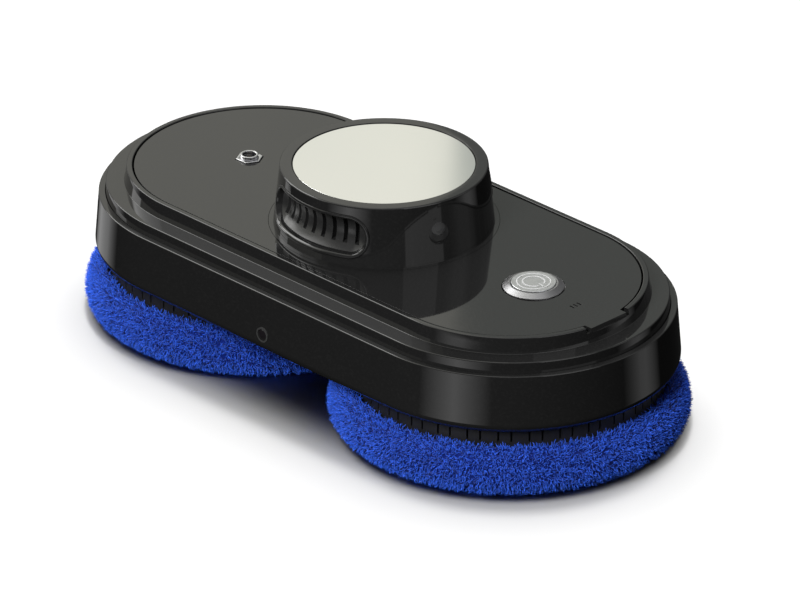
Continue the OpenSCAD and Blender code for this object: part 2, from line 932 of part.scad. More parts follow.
module grip_insert_back() {
    color([0.13, 0.13, 0.13])
        grip_insert(90);
}

module handle_top_plate() {
    color([0.15, 0.15, 0.15])
        rod(mirror_r + top_plate_w, mirror_seat_z - top_plate_t, mirror_seat_z);
}

module mirror_disc() {
    color([0.75, 0.78, 0.75])
        rotate_extrude()
            polygon([
                [0, mirror_seat_z],
                [mirror_r, mirror_seat_z],
                [mirror_r, mirror_seat_z + mirror_t - edge_round / 2],
                [mirror_r - edge_round / 2, mirror_seat_z + mirror_t],
                [0, mirror_seat_z + mirror_t]
            ]);
}

module button_bezel() {
    color("silver")
        at_button()
            rotate_extrude()
                polygon([
                    [bezel_cup_r, deck_z - bezel_depth],
                    [bezel_thread_r, deck_z - bezel_depth],
                    [bezel_thread_r, deck_z - deck_t],
                    [bezel_r, deck_z - deck_t],
                    [bezel_r, deck_z + bezel_rim_h],
                    [bezel_r - bezel_slope_w, deck_z + bezel_h],
                    [bezel_bore_r, deck_z + bezel_h],
                    [bezel_bore_r, deck_z - bezel_shoulder_drop],
                    [bezel_cup_r, deck_z - bezel_shoulder_drop]
                ]);
}

module button_nut() {
    color("silver")
        at_button()
            difference() {
                hex_rod(button_nut_r, deck_under - button_nut_t, deck_under);
                rod(bezel_thread_r + fit_gap / 2, deck_under - button_nut_t - over, deck_under + over);
            }
}

module button_switch() {
    color([0.2, 0.2, 0.22])
        at_button() {
            rod(bezel_cup_r - fit_gap / 2, deck_z - bezel_depth, deck_z - bezel_depth + switch_t);
            rod(dome_r, deck_z - bezel_depth + switch_t, deck_z - bezel_depth + switch_t + dome_h);
        }
}

module button_spring() {
    steps = ceil(spring_turns * spring_ring_steps);
    rings = [for (i = [0:steps], k = [0:spring_sides - 1]) spring_point(i / steps, k)];
    side_faces = [
        for (i = [0:steps - 1], k = [0:spring_sides - 1])
            let (a = i * spring_sides + k)
            let (b = i * spring_sides + (k + 1) % spring_sides)
            each [[a, b, b + spring_sides], [a, b + spring_sides, a + spring_sides]]
    ];
    start_face = [for (k = [spring_sides - 1:-1:0]) k];
    end_face = [for (k = [0:spring_sides - 1]) steps * spring_sides + k];
    color("silver")
        at_button()
            polyhedron(points = rings, faces = concat(side_faces, [start_face, end_face]));
}

module button_cap() {
    color("gainsboro")
        at_button()
            difference() {
                rotate_extrude()
                    polygon([
                        [0, plunger_bottom],
                        [plunger_r, plunger_bottom],
                        [plunger_r, cap_top - cap_t],
                        [cap_r - cap_skirt_wall, cap_top - cap_t],
                        [cap_r - cap_skirt_wall, cap_lip_top - cap_lip_h],
                        [cap_r + cap_lip_w, cap_lip_top - cap_lip_h],
                        [cap_r + cap_lip_w, cap_lip_top],
                        [cap_r, cap_lip_top],
                        [cap_r, cap_top - edge_round],
                        [cap_r - edge_round, cap_top],
                        [0, cap_top]
                    ]);
                tube(ring_line_r + ring_line_w / 2, ring_line_r - ring_line_w / 2,
                     cap_top - inlay_t, cap_top + over);
                power_mark(symbol_line_w, cap_top - inlay_t, cap_top + over);
            }
}

// Power mark: an open ring with a bar across its gap, which faces the end of the robot
module power_mark(line_w, bottom, top) {
    difference() {
        tube(symbol_line_r + line_w / 2, symbol_line_r - line_w / 2, bottom, top);
        linear_extrude(3 * top)
            polygon([
                [0, 0],
                2 * symbol_line_r * [cos(symbol_gap_angle / 2), -sin(symbol_gap_angle / 2)],
                2 * symbol_line_r * [cos(symbol_gap_angle / 2), sin(symbol_gap_angle / 2)]
            ]);
    }
    translate([symbol_line_r - symbol_bar_l / 2, -line_w / 2, bottom])
        cube([symbol_bar_l, line_w, top - bottom]);
}

module button_ring() {
    color("white")
        at_button()
            tube(ring_line_r + ring_line_w / 2, ring_line_r - ring_line_w / 2,
                 cap_top - inlay_t, cap_top + inlay_proud);
}

module power_symbol() {
    color("white")
        at_button()
            power_mark(symbol_line_w, cap_top - inlay_t, cap_top + inlay_proud);
}

module power_socket() {
    color("silver")
        at_inlet()
            difference() {
                rod(socket_r, socket_top - socket_depth - contact_h - socket_floor, socket_top);
                rod(socket_bore_r, socket_top - socket_depth, socket_top + over);
                rod(contact_r, socket_top - socket_depth - contact_h, socket_top - socket_depth + over);
            }
}

module socket_contact() {
    color("gold")
        at_inlet()
            rod(contact_r, socket_top - socket_depth - contact_h, socket_top - socket_depth);
}

module socket_nut() {
    color("silver")
        at_inlet()
            difference() {
                hex_rod(socket_nut_r, deck_z + socket_nut_up - socket_nut_t, deck_z + socket_nut_up);
                rod(socket_r + fit_gap / 2, deck_under - over, deck_z + over);
            }
}

module socket_washer() {
    color([0.1, 0.1, 0.1])
        at_inlet()
            tube(washer_r, socket_r + fit_gap / 2, deck_under - washer_t, deck_under);
}

module buzzer() {
    color([0.1, 0.1, 0.1])
        translate([buzzer_x, 0, 0])
            difference() {
                rod(buzzer_r, deck_under - buzzer_h, deck_under);
                rod(buzzer_port_r, deck_under - buzzer_port_depth, deck_under + over);
            }
}

module at_sensor() {
    translate([0, 0, sensor_z])
        rotate([90, 0, 0])
            children();
}

module side_sensor() {
    color([0.2, 0.05, 0.05])
        at_sensor()
            rotate_extrude()
                polygon(concat(
                    [[0, sensor_y - sensor_depth], [sensor_lens_r, sensor_y - sensor_depth]],
                    oval([0, sensor_y - sensor_proud], sensor_lens_r, 2 * sensor_proud, 0, 90, edge_steps)
                ));
}

module sensor_bezel() {
    color([0.05, 0.05, 0.05])
        at_sensor() {
            tube(sensor_bezel_r, sensor_lens_r + fit_gap / 2, sensor_y - sensor_depth,
                 sensor_y + sensor_proud);
            tube(sensor_flange_r, sensor_lens_r + fit_gap / 2, sensor_y - sensor_depth,
                 sensor_y - sensor_depth + sensor_flange_t);
        }
}

// Shape of the duct in plan, drawn in by the given amount
module duct_plan(inset) {
    for (side = [-1, 1])
        at_axle(side)
            circle(r = duct_end_r - inset);
    circle(r = duct_middle_r - inset);
    square([2 * axle_x, duct_w - 2 * inset], center = true);
}

module suction_duct() {
    color([0.2, 0.2, 0.22])
        difference() {
            union() {
                translate([0, 0, duct_bottom])
                    linear_extrude(duct_h)
                        duct_plan(0);
                rod(duct_foot_r, base_top, duct_bottom + duct_wall / 2);
            }
            translate([0, 0, duct_bottom + duct_wall])
                linear_extrude(duct_h - 2 * duct_wall)
                    duct_plan(duct_wall);
            for (side = [-1, 1])
                at_axle(side)
                    rod(nut_r + deck_gap, duct_bottom - over, duct_bottom + duct_wall + over);
            rod(duct_eye_r, duct_top - duct_wall - over, duct_top + over);
        }
}

module suction_sleeves() {
    color([0.75, 0.75, 0.72])
        for (side = [-1, 1])
            at_axle(side)
                difference() {
                    union() {
                        rod(sleeve_r, sleeve_bottom, sleeve_top);
                        rod(sleeve_flange_r, sleeve_bottom, sleeve_bottom + sleeve_flange_t);
                    }
                    rod(sleeve_bore_r, sleeve_bottom - over, sleeve_top + over);
                }
}

module sleeve_nuts() {
    color("silver")
        for (side = [-1, 1])
            at_axle(side)
                difference() {
                    hex_rod(nut_r, roof_top, roof_top + nut_t);
                    rod(sleeve_r + fit_gap / 2, roof_top - over, roof_top + nut_t + over);
                }
}

module thrust_washers() {
    color("white")
        for (side = [-1, 1])
            at_axle(side)
                tube(hub_foot_r, hub_hole_r + fit_gap, base_z - thrust_t, base_z);
}

module gear_covers() {
    color([0.25, 0.25, 0.27])
        for (side = [-1, 1])
            at_axle(side)
                difference() {
                    union() {
                        rod(cover_r, base_top, roof_top);
                        translate([0, -pinion_y, 0])
                            rod(motor_plate_r, base_top, roof_top);
                    }
                    rod(cover_in_r, base_top - over, roof_under);
                    translate([0, -pinion_y, 0]) {
                        rod(pinion_room_r, base_top - over, roof_under);
                        rod(motor_hole_r, roof_under - over, roof_top + over);
                    }
                    rod(sleeve_r + fit_gap / 2, roof_under - over, roof_top + over);
                }
}

module drive_motor() {
    difference() {
        union() {
            rod(motor_r, roof_top, roof_top + motor_h);
            rod(motor_nose_r, roof_top - cover_roof / 2, roof_top);
            rod(motor_cap_r, roof_top + motor_h, roof_top + motor_h + motor_cap_h);
        }
        rod(motor_shaft_r + run_gap, roof_under, roof_top + shaft_in_motor + over);
    }
}

module drive_motor_right() {
    color("silver")
        at_pinion(1)
            drive_motor();
}

module drive_motor_left() {
    color("silver")
        at_pinion(-1)
            drive_motor();
}

module motor_shaft_right() {
    color("lightgray")
        at_pinion(1)
            rod(motor_shaft_r, gear_bottom - shaft_below, roof_top + shaft_in_motor);
}

module motor_shaft_left() {
    color("lightgray")
        at_pinion(-1)
            rod(motor_shaft_r, gear_bottom - shaft_below, roof_top + shaft_in_motor);
}

// Pinion with one tooth that points at the wheel gear
module pinion() {
    translate([0, 0, gear_bottom])
        difference() {
            rotate(90)
                linear_extrude(gear_t)
                    polygon(gear_points(pinion_teeth, pinion_pitch_r - gear_module * pinion_root_share,
                                        pinion_pitch_r + gear_module * pinion_tip_share, pinion_pitch_r));
            rod(motor_shaft_r + shaft_gap, -over, gear_t + over);
        }
}

module pinion_right() {
    color("gold")
        at_pinion(1)
            pinion();
}

module pinion_left() {
    color("gold")
        at_pinion(-1)
            pinion();
}

// Wheel gear with one tooth gap that faces the pinion
module drive_gear() {
    translate([0, 0, gear_bottom])
        difference() {
            rotate(-90 + 180 / gear_teeth)
                linear_extrude(gear_t)
                    polygon(gear_points(gear_teeth, gear_pitch_r - gear_module * gear_root_share,
                                        gear_pitch_r + gear_module * gear_tip_share, gear_pitch_r));
            rod(hub_r + fit_gap / 2, -over, gear_t + over);
        }
}

module drive_gear_right() {
    color("ivory")
        at_axle(1)
            drive_gear();
}

module drive_gear_left() {
    color("ivory")
        at_axle(-1)
            drive_gear();
}

module gear_clip() {
    tube(hub_r + gear_clip_w, hub_r - clip_groove + fit_gap / 2, gear_top, gear_top + gear_clip_t);
}

module gear_clip_right() {
    color("silver")
        at_axle(1)
            gear_clip();
}

module gear_clip_left() {
    color("silver")
        at_axle(-1)
            gear_clip();
}

module wheel_disc() {
    difference() {
        union() {
            rotate_extrude()
                polygon([
                    [hub_bore_r, disc_bottom],
                    [rim_r, disc_bottom],
                    [rim_r, clip_flange_bottom],
                    [rim_r - rim_wall, clip_flange_bottom],
                    [rim_r - rim_wall, disc_floor_top],
                    [hub_foot_r, disc_floor_top],
                    [hub_foot_r, hub_step_z],
                    [hub_shoulder_r, hub_step_z],
                    [hub_shoulder_r, gear_bottom],
                    [hub_r, gear_bottom],
                    [hub_r, gear_top],
                    [hub_r - clip_groove, gear_top],
                    [hub_r - clip_groove, gear_top + gear_clip_t],
                    [hub_r, gear_top + gear_clip_t],
                    [hub_r, hub_top],
                    [hub_bore_r, hub_top]
                ]);
            for (i = [0:rib_count - 1])
                rotate(360 * (i + 1 / 2) / rib_count)
                    translate([hub_foot_r - rib_t, -rib_t / 2, disc_bottom + disc_t / 2])
                        cube([rim_r - rim_wall / 2 - hub_foot_r + rib_t, rib_t, disc_t / 2 + rib_h]);
            tube(rim_r * rib_ring_share + rib_t, rim_r * rib_ring_share, disc_bottom + disc_t / 2,
                 disc_floor_top + rib_h);
        }
        around(ring_screw_count, ring_screw_line_r)
            rod(ring_screw_r + shaft_gap, clip_top - ring_screw_l, clip_flange_bottom + over);
    }
}

module wheel_disc_right() {
    color([0.16, 0.16, 0.16])
        at_axle(1)
            wheel_disc();
}

module wheel_disc_left() {
    color([0.16, 0.16, 0.16])
        at_axle(-1)
            wheel_disc();
}

module clip_ring() {
    pair_angle = 360 / clip_pairs;
    difference() {
        rotate_extrude()
            polygon([
                [clip_r - clip_wall, disc_bottom],
                [clip_r, disc_bottom],
                [clip_r, clip_top - edge_round],
                [clip_r - edge_round, clip_top],
                [clip_r - clip_flange_w, clip_top],
                [clip_r - clip_flange_w, clip_flange_bottom],
                [clip_r - clip_wall, clip_flange_bottom]
            ]);
        for (i = [0:clip_pairs - 1], part = [0, slot_split_share])
            rotate(slot_phase + pair_angle * (i + part))
                translate([clip_r - clip_wall - clip_gap / 2, -clip_slot_w / 2, slot_bottom])
                    cube([clip_wall + over, clip_slot_w, slot_top - slot_bottom]);
        around(ring_screw_count, ring_screw_line_r) {
            rod(ring_screw_r + fit_gap, clip_flange_bottom - over, clip_top + over);
            translate([0, 0, clip_top - ring_screw_head_t - ring_screw_sink])
                cylinder(r1 = ring_screw_r + fit_gap, r2 = ring_screw_head_r + fit_gap,
                         h = ring_screw_head_t + ring_screw_sink + shaft_gap);
        }
    }
}

module clip_ring_right() {
    color([0.1, 0.1, 0.1])
        at_axle(1)
            clip_ring();
}

module clip_ring_left() {
    color([0.1, 0.1, 0.1])
        at_axle(-1)
            clip_ring();
}

module ring_screws() {
    around(ring_screw_count, ring_screw_line_r) {
        rod(ring_screw_r, clip_top - ring_screw_l + ring_screw_head_t, clip_top - ring_screw_head_t);
        translate([0, 0, clip_top - ring_screw_head_t - ring_screw_sink])
            cylinder(r1 = ring_screw_r, r2 = ring_screw_head_r, h = ring_screw_head_t);
    }
}

module ring_screws_right() {
    color("silver")
        at_axle(1)
            ring_screws();
}

module ring_screws_left() {
    color("silver")
        at_axle(-1)
            ring_screws();
}

module hook_ring_right() {
    color([0.3, 0.3, 0.3])
        at_axle(1)
            tube(hook_out_r, hook_in_r, hook_bottom, disc_bottom);
}

module hook_ring_left() {
    color([0.3, 0.3, 0.3])
        at_axle(-1)
            tube(hook_out_r, hook_in_r, hook_bottom, disc_bottom);
}

module pad_right() {
    color("royalblue")
        at_axle(1)
            rotate_extrude()
                polygon(pad_outline());
}

module pad_left() {
    color("royalblue")
        at_axle(-1)
            rotate_extrude()
                polygon(pad_outline());
}

module fan_housing() {
    color([0.3, 0.3, 0.32])
        difference() {
            rod(housing_r, duct_top, housing_roof_z + housing_t);
            rod(housing_r - housing_t, housing_floor_top, housing_roof_z);
            rod(duct_eye_r, duct_top - over, housing_floor_top + over);
            rod(motor_hole_r, housing_roof_z - over, housing_roof_z + housing_t + over);
            difference() {
                tube(housing_r + over, housing_r - housing_t - over,
                     housing_roof_z - outlet_h, housing_roof_z);
                for (i = [0:outlet_post_count - 1])
                    rotate(360 * i / outlet_post_count)
                        linear_extrude(housing_roof_z + over)
                            polygon([
                                [0, 0],
                                2 * housing_r * [cos(outlet_post_angle / 2), -sin(outlet_post_angle / 2)],
                                2 * housing_r * [cos(outlet_post_angle / 2), sin(outlet_post_angle / 2)]
                            ]);
            }
        }
}

module fan_motor() {
    color("silver")
        difference() {
            rod(fan_motor_r, fan_motor_bottom, fan_motor_bottom + fan_motor_h);
            rod(fan_shaft_r + run_gap, fan_motor_bottom - over, fan_motor_bottom + fan_shaft_in + over);
            around(motor_fin_count, fan_motor_r)
                translate([-motor_fin_depth, -motor_fin_w / 2, fan_motor_bottom + motor_fin_w])
                    cube([2 * motor_fin_depth, motor_fin_w, fan_motor_h - 2 * motor_fin_w]);
        }
}

module fan_shaft() {
    color("lightgray")
        rod(fan_shaft_r, fan_bottom - fan_shaft_below, fan_motor_bottom + fan_shaft_in);
}

module impeller() {
    color("white")
        difference() {
            union() {
                rod(fan_r, fan_top - fan_plate_t, fan_top);
                rod(fan_hub_r, fan_bottom, fan_top);
                around(blade_count, 0)
                    translate([0, 0, fan_bottom])
                        linear_extrude(fan_h - fan_plate_t / 2)
                            polygon(concat(
                                [for (i = [0:blade_steps]) blade_point(i / blade_steps, -1)],
                                [for (i = [blade_steps:-1:0]) blade_point(i / blade_steps, 1)]
                            ));
            }
            rod(fan_shaft_r + shaft_gap, fan_bottom - over, fan_top + over);
        }
}

module battery_case() {
    color([0.1, 0.1, 0.12])
        translate([-case_l / 2, case_y - case_d / 2, base_top])
            difference() {
                cube([case_l, case_d, case_h]);
                translate([case_wall, case_wall, case_wall])
                    cube([case_l - 2 * case_wall, case_d - 2 * case_wall, case_h]);
            }
}

module battery_cells() {
    cell_l = case_l - 2 * case_wall - 2 * cell_gap - cell_tip_h;
    color("deepskyblue")
        for (row = [-1, 1], layer = [0, 1])
            translate([-case_l / 2 + case_wall + cell_gap, case_y + row * cell_pitch / 2,
                       base_top + case_wall + cell_gap + cell_r + layer * cell_pitch])
                rotate([0, 90, 0]) {
                    rod(cell_r, 0, cell_l);
                    rod(cell_tip_r, cell_l, cell_l + cell_tip_h);
                }
}

module at_board_posts() {
    for (sx = [-1, 1], sy = [-1, 1])
        translate([sx * (board_w / 2 - board_edge), board_y + sy * (board_d / 2 - board_edge), 0])
            children();
}

module main_board() {
    color("darkgreen")
        difference() {
            translate([-board_w / 2, board_y - board_d / 2, board_z])
                cube([board_w, board_d, board_t]);
            at_board_posts()
                rod(board_hole_r, board_z - over, board_z + board_t + over);
        }
}

module board_block(place_share, size_share, height) {
    translate([board_w * (place_share[0] - size_share[0] / 2),
               board_y + board_d * (place_share[1] - size_share[1] / 2), board_z + board_t])
        cube([board_w * size_share[0], board_d * size_share[1], height]);
}

module board_parts() {
    color([0.1, 0.1, 0.1]) {
        board_block(chip_place_share, chip_size_share, chip_h);
        for (place_share = driver_places_share)
            board_block(place_share, driver_size_share, chip_h);
        board_block(plug_place_share, plug_size_share, plug_h);
        for (place_share = capacitor_places_share)
            translate([board_w * place_share[0], board_y + board_d * place_share[1], 0])
                rod(capacitor_r, board_z + board_t, board_z + board_t + capacitor_h);
    }
}

outer_skirt();
top_frame();
deck_plate();
deck_gasket();
base_plate();
base_screws();
handle_collar();
handle_shell();
handle_screws();
grip_insert_front();
grip_insert_back();
handle_top_plate();
mirror_disc();
button_bezel();
button_nut();
button_switch();
button_spring();
button_cap();
button_ring();
power_symbol();
power_socket();
socket_contact();
socket_nut();
socket_washer();
buzzer();
side_sensor();
sensor_bezel();
suction_duct();
suction_sleeves();
sleeve_nuts();
thrust_washers();
fan_housing();
fan_motor();
fan_shaft();
impeller();
battery_case();
battery_cells();
main_board();
board_parts();
gear_covers();
drive_motor_right();
drive_motor_left();
motor_shaft_right();
motor_shaft_left();
pinion_right();
pinion_left();
wheel_disc_right();
clip_ring_right();
ring_screws_right();
hook_ring_right();
pad_right();
drive_gear_right();
gear_clip_right();
wheel_disc_left();
clip_ring_left();
ring_screws_left();
hook_ring_left();
pad_left();
drive_gear_left();
gear_clip_left();
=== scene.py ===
import json
from math import acos, asin, atan2, cos, hypot, pi, radians, sin, sqrt, tan

import bmesh
import bpy
import numpy as np
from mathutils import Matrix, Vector


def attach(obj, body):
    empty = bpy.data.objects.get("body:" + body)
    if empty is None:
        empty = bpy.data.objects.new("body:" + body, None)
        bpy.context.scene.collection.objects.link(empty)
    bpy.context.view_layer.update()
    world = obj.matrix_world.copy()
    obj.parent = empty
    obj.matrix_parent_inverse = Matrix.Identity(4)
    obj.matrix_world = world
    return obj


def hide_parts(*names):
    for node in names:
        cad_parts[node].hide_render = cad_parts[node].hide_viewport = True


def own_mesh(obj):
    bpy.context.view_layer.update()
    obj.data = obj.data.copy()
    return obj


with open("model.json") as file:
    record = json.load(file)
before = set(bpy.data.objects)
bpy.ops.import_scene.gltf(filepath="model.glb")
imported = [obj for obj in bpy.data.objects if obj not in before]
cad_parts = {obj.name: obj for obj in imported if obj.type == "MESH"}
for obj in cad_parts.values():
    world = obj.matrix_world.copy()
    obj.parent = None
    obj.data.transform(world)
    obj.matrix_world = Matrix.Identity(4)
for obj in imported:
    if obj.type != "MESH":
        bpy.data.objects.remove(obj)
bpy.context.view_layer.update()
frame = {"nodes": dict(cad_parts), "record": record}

bl_info = {
    "name": "Window cleaning robot",
    "version": (1, 0, 0),
    "blender": (4, 5, 0),
    "location": "3D View > Sidebar > Robot",
    "description": "Dresses the window cleaning robot: shells, mirror disc, button, inlet and pads",
    "category": "Object",
}


# Sizes and colours


def length(name, description, millimetres):
    """A length that a user may change, given in millimetres. Heights are above the floor."""
    return bpy.props.FloatProperty(name=name, description=description, default=millimetres / 1000,
                                   unit="LENGTH", precision=5)


def angle(name, description, degrees):
    """An angle that a user may change, given in degrees."""
    return bpy.props.FloatProperty(name=name, description=description, default=radians(degrees),
                                   subtype="ANGLE")


def number(name, description, default):
    """A whole number that a user may change."""
    return bpy.props.IntProperty(name=name, description=description, default=default)


def colour(name, description, red, green, blue):
    """A colour that a user may change."""
    return bpy.props.FloatVectorProperty(name=name, description=description, default=(red, green, blue),
                                         subtype="COLOR", size=3, min=0, max=1)


class BodySizes(bpy.types.PropertyGroup):
    """The stepped outline of the body, its deck and the holes in it."""
    skirt: length("Skirt radius", "Radius of the round ends at the skirt's foot", 71.2)
    ledge: length("Ledge radius", "Radius of the skirt at its ledge", 69.4)
    foot: length("Foot radius", "Inner radius of the skirt's foot", 65.6)
    foot_t: length("Foot thickness", "Thickness of the skirt's foot", 2.6)
    base_z: length("Base height", "Height of the skirt's foot", 28.4)
    edge_z: length("Edge height", "Height where the lower rounding ends", 32.6)
    lower_edge: length("Lower rounding", "Radius of the rounded lower edge", 4.2)
    ledge_z: length("Ledge height", "Height of the ledge", 54.4)
    shoulder_base: length("Shoulder foot", "Radius of the shoulder at the ledge", 66.5)
    shoulder: length("Shoulder top", "Radius of the shoulder at the terrace", 66.1)
    terrace_z: length("Terrace height", "Height of the terrace", 59.2)
    lip_base: length("Lip foot", "Radius of the lip at the terrace", 58.5)
    lip: length("Lip top", "Radius of the lip at its top", 57.3)
    rim_z: length("Rim height", "Height of the lip's top", 66)
    well: length("Well radius", "Inner radius of the lip", 54.9)
    wall: length("Wall", "Wall of the moulded shells", 2.2)
    edge: length("Edge rounding", "Rounding of the outer edges", 0.5)
    deck: length("Deck radius", "Radius of the deck plate's round ends", 54.2)
    deck_z: length("Deck height", "Height of the deck", 65.6)
    deck_t: length("Deck thickness", "Thickness of the deck plate", 2)
    tab: length("Tab width", "Width of the tab that crosses the lip", 20.4)
    tab_gap: length("Tab gap", "Gap on each side of the tab", 2.2)
    tab_drop: length("Tab setback", "How far the tab's end lies behind the lip", 0.5)
    slit_l: length("Slit length", "Length of one sound slit", 2.6)
    slit_w: length("Slit width", "Width of one sound slit", 0.8)
    slit_pitch: length("Slit pitch", "Distance between two sound slits", 2)
    buzzer_x: length("Slit place", "Distance of the sound slits from the middle", 112.3)


class HandleSizes(bpy.types.PropertyGroup):
    """The round handle, its flush ring, its mirror disc and its finger grips."""
    foot: length("Foot radius", "Radius of the handle at the deck", 46.6)
    top: length("Top radius", "Radius of the handle at its top", 43.7)
    top_z: length("Top height", "Height of the handle's top", 91.8)
    edge: length("Top rounding", "Rounding of the handle's top edge", 0.8)
    collar: length("Ring radius", "Outer radius of the flush ring", 48.5)
    collar_hole: length("Ring hole", "Radius of the deck's hole around the flush ring", 48.65)
    mirror: length("Mirror radius", "Radius of the mirror disc", 38.2)
    mirror_t: length("Mirror thickness", "Thickness of the mirror disc", 1.7)
    mirror_gap: length("Mirror gap", "Gap around the mirror disc", 0.4)
    mirror_drop: length("Mirror drop", "Depth of the disc below the handle's top", 0.3)
    grip_z: length("Grip height", "Height of the middle of the finger grip", 78.2)
    grip_half: length("Grip half height", "Half the height of the finger opening", 9.3)
    grip_face: length("Grip face", "Radius of the handle at the finger grip", 45.205)
    grip_arc: length("Hollow radius", "Radius of the hollow's cross-section", 10.917)
    grip_core: length("Hollow line", "Radius of the line that the cross-section is struck from", 50.922)
    grip_end: angle("Grip end", "Half the angle between the round ends", 26)
    vent_pitch: angle("Slot pitch", "Angle between two air slots", 7.5)
    vent_count: number("Slots", "Number of air slots", 9)
    vent_w: length("Slot width", "Width of an air slot", 1.9)
    vent_low: length("Slot foot", "Depth of the slots' lower end below the grip's middle", 4.6)
    vent_high: length("Slot head", "Height of the slots' upper end above it", 8.5)
    vent_depth: length("Slot depth", "Depth that an air slot shows", 4)


class ButtonSizes(bpy.types.PropertyGroup):
    """The power button and the power inlet."""
    x: length("Button place", "Distance of the button from the middle", 88)
    hole: length("Button hole", "Radius of the deck's hole around the bezel", 13.25)
    bezel: length("Bezel radius", "Outer radius of the bezel", 12.9)
    bezel_h: length("Bezel height", "Height of the bezel above the deck", 1.9)
    bezel_rim: length("Bezel rim", "Height of the bezel's upright rim", 0.5)
    slope: length("Slope width", "Width of the bezel's slope", 2.6)
    bore: length("Bezel bore", "Bore of the bezel around the cap", 9.48)
    cap: length("Cap radius", "Radius of the push cap", 9.4)
    travel: length("Travel", "How far the cap goes down", 1.2)
    cap_z: length("Cap height", "Height of the push cap", 67.9)
    inlet_x: length("Inlet place", "Distance of the inlet from the middle", -82)
    pocket: length("Pocket radius", "Radius of the hexagonal pocket's corners", 6.3)
    nut: length("Nut radius", "Radius of the nut's corners", 5.9)
    nut_z: length("Nut height", "Height of the nut's top", 66.1)
    tube: length("Tube radius", "Outer radius of the inlet tube", 3.9)
    tube_bore: length("Tube bore", "Bore of the inlet tube", 2.9)
    tube_z: length("Tube height", "Height of the inlet tube", 67.6)
    tube_depth: length("Tube depth", "Depth of the inlet tube's bore", 7)


class PadSizes(bpy.types.PropertyGroup):
    """The microfibre pads."""
    axle: length("Axle distance", "Distance of each wheel axle from the middle", 74.5)
    backing: length("Backing radius", "Radius of the pad's backing at its widest", 74)
    wide_z: length("Widest height", "Height where the pad is widest", 8.3)
    top_z: length("Rim height", "Height of the backing's rim", 20.6)
    crown: length("Rim rounding", "Rounding of the backing's rim", 1.5)
    inner: length("Inner radius", "Radius of the pad's inside", 66)
    floor_z: length("Inner floor", "Height of the pad's inner floor", 10)
    hole: length("Chamber radius", "Radius of the suction chamber", 24.6)
    under: length("Under radius", "Radius where the flat underside ends", 64.4)
    lift: length("Underside height", "Height of the backing's underside", 1.2)
    loop: length("Loop length", "Length of one microfibre loop", 2.8)
    loop_w: length("Loop thickness", "Thickness of one loop at its root", 0.37)
    side_count: number("Side loops", "Loops on a quarter of the side", 8600)
    under_count: number("Underside loops", "Loops on a quarter of the underside", 1500)


class RobotColours(bpy.types.PropertyGroup):
    """The colours of the robot's visible finishes."""
    black: colour("Gloss black", "Moulded gloss black", 0.0062, 0.0062, 0.0062)
    matte: colour("Matte black", "Matte black plastic", 0.005, 0.005, 0.0055)
    mirror: colour("Mirror", "Coating of the mirror disc", 0.93, 0.93, 0.91)
    metal: colour("Bright metal", "Turned metal of the inlet", 0.72, 0.72, 0.74)
    # The bezel colour is a darkened copy of the bright metal: painted shade for the dark surroundings that
    # the bezel reflects.
    bezel: colour("Bezel", "Turned metal of the button's bezel", 0.38, 0.38, 0.39)
    cap: colour("Cap", "Satin silver of the push cap", 0.7, 0.71, 0.73)
    # The loop root colour is painted shade: its near-black blue stands for the shade deep between the loops,
    # and the backing is darkened from it too.
    root: colour("Loop root", "Blue between the microfibre loops", 0.0015, 0.005, 0.05)
    tip: colour("Loop tip", "Blue of the microfibre loops", 0.04, 0.14, 0.85)


SETTINGS = {"robot_body": BodySizes, "robot_handle": HandleSizes, "robot_button": ButtonSizes,
            "robot_pad": PadSizes, "robot_colours": RobotColours}


# Finishes


def both_ways(operation):
    """A Math operation of a wire and another value, and the same with the two swapped."""
    return (lambda wire, other: wire.step(operation, wire, other),
            lambda wire, other: wire.step(operation, other, wire))


class Wire:
    """A socket of a node tree that takes part in Python expressions, each step adding its Math node."""
    __add__, __radd__ = both_ways("ADD")
    __sub__, __rsub__ = both_ways("SUBTRACT")
    __mul__, __rmul__ = both_ways("MULTIPLY")
    __truediv__, __rtruediv__ = both_ways("DIVIDE")
    __pow__, __rpow__ = both_ways("POWER")
    least, most = both_ways("MINIMUM")[0], both_ways("MAXIMUM")[0]

    def __init__(self, recipe, socket):
        self.recipe, self.socket = recipe, socket

    def step(self, operation, *values):
        return self.recipe.add("ShaderNodeMath", {"operation": operation}, dict(enumerate(values)))

    def within(self):
        return self.least(1).most(0)


class Recipe:
    """Fills the node tree of a material or of the world."""

    def __init__(self, tree):
        self.tree = tree
        tree.nodes.clear()

    def add(self, kind, settings=None, sockets=None, out=0):
        """Adds a node of one kind: its settings first, then values or wires for its sockets."""
        node = self.tree.nodes.new(kind)
        for name, value in (settings or {}).items():
            setattr(node, name, value)
        for key, value in (sockets or {}).items():
            if isinstance(value, Wire):
                self.tree.links.new(value.socket, node.inputs[key])
            else:
                node.inputs[key].default_value = value
        return Wire(self, node.outputs[out]) if node.outputs else node

    def mix(self, factor, first, second):
        """Mixes two colours."""
        return self.add("ShaderNodeMix", {"data_type": "RGBA"},
                        {0: factor, 6: solid(first), 7: solid(second)}, out=2)

    def place(self):
        """The point of the surface in the object's own metres."""
        return self.add("ShaderNodeTexCoord", out=3)

    def parts(self, vector):
        """The X, Y and Z of a vector as three wires."""
        split = self.add("ShaderNodeSeparateXYZ", None, {0: vector})
        node = split.socket.node
        return [Wire(self, node.outputs[i]) for i in range(3)]

    def noise(self, scale, detail=2.0, vector=None):
        """A cloud of values between 0 and 1, finer as its scale grows, in copies per metre."""
        return self.add("ShaderNodeTexNoise", None,
                        {"Vector": vector or self.place(), "Scale": scale, "Detail": detail})

    def bump(self, height, strength, distance):
        """A bump from a height."""
        return self.add("ShaderNodeBump", None,
                        {"Height": height, "Strength": strength, "Distance": distance})


def solid(shade):
    """A colour with full cover, or the wire that it is."""
    return shade if isinstance(shade, Wire) else (*tuple(shade)[:3], 1.0)


def shades():
    """The robot's colours."""
    return bpy.context.scene.robot_colours


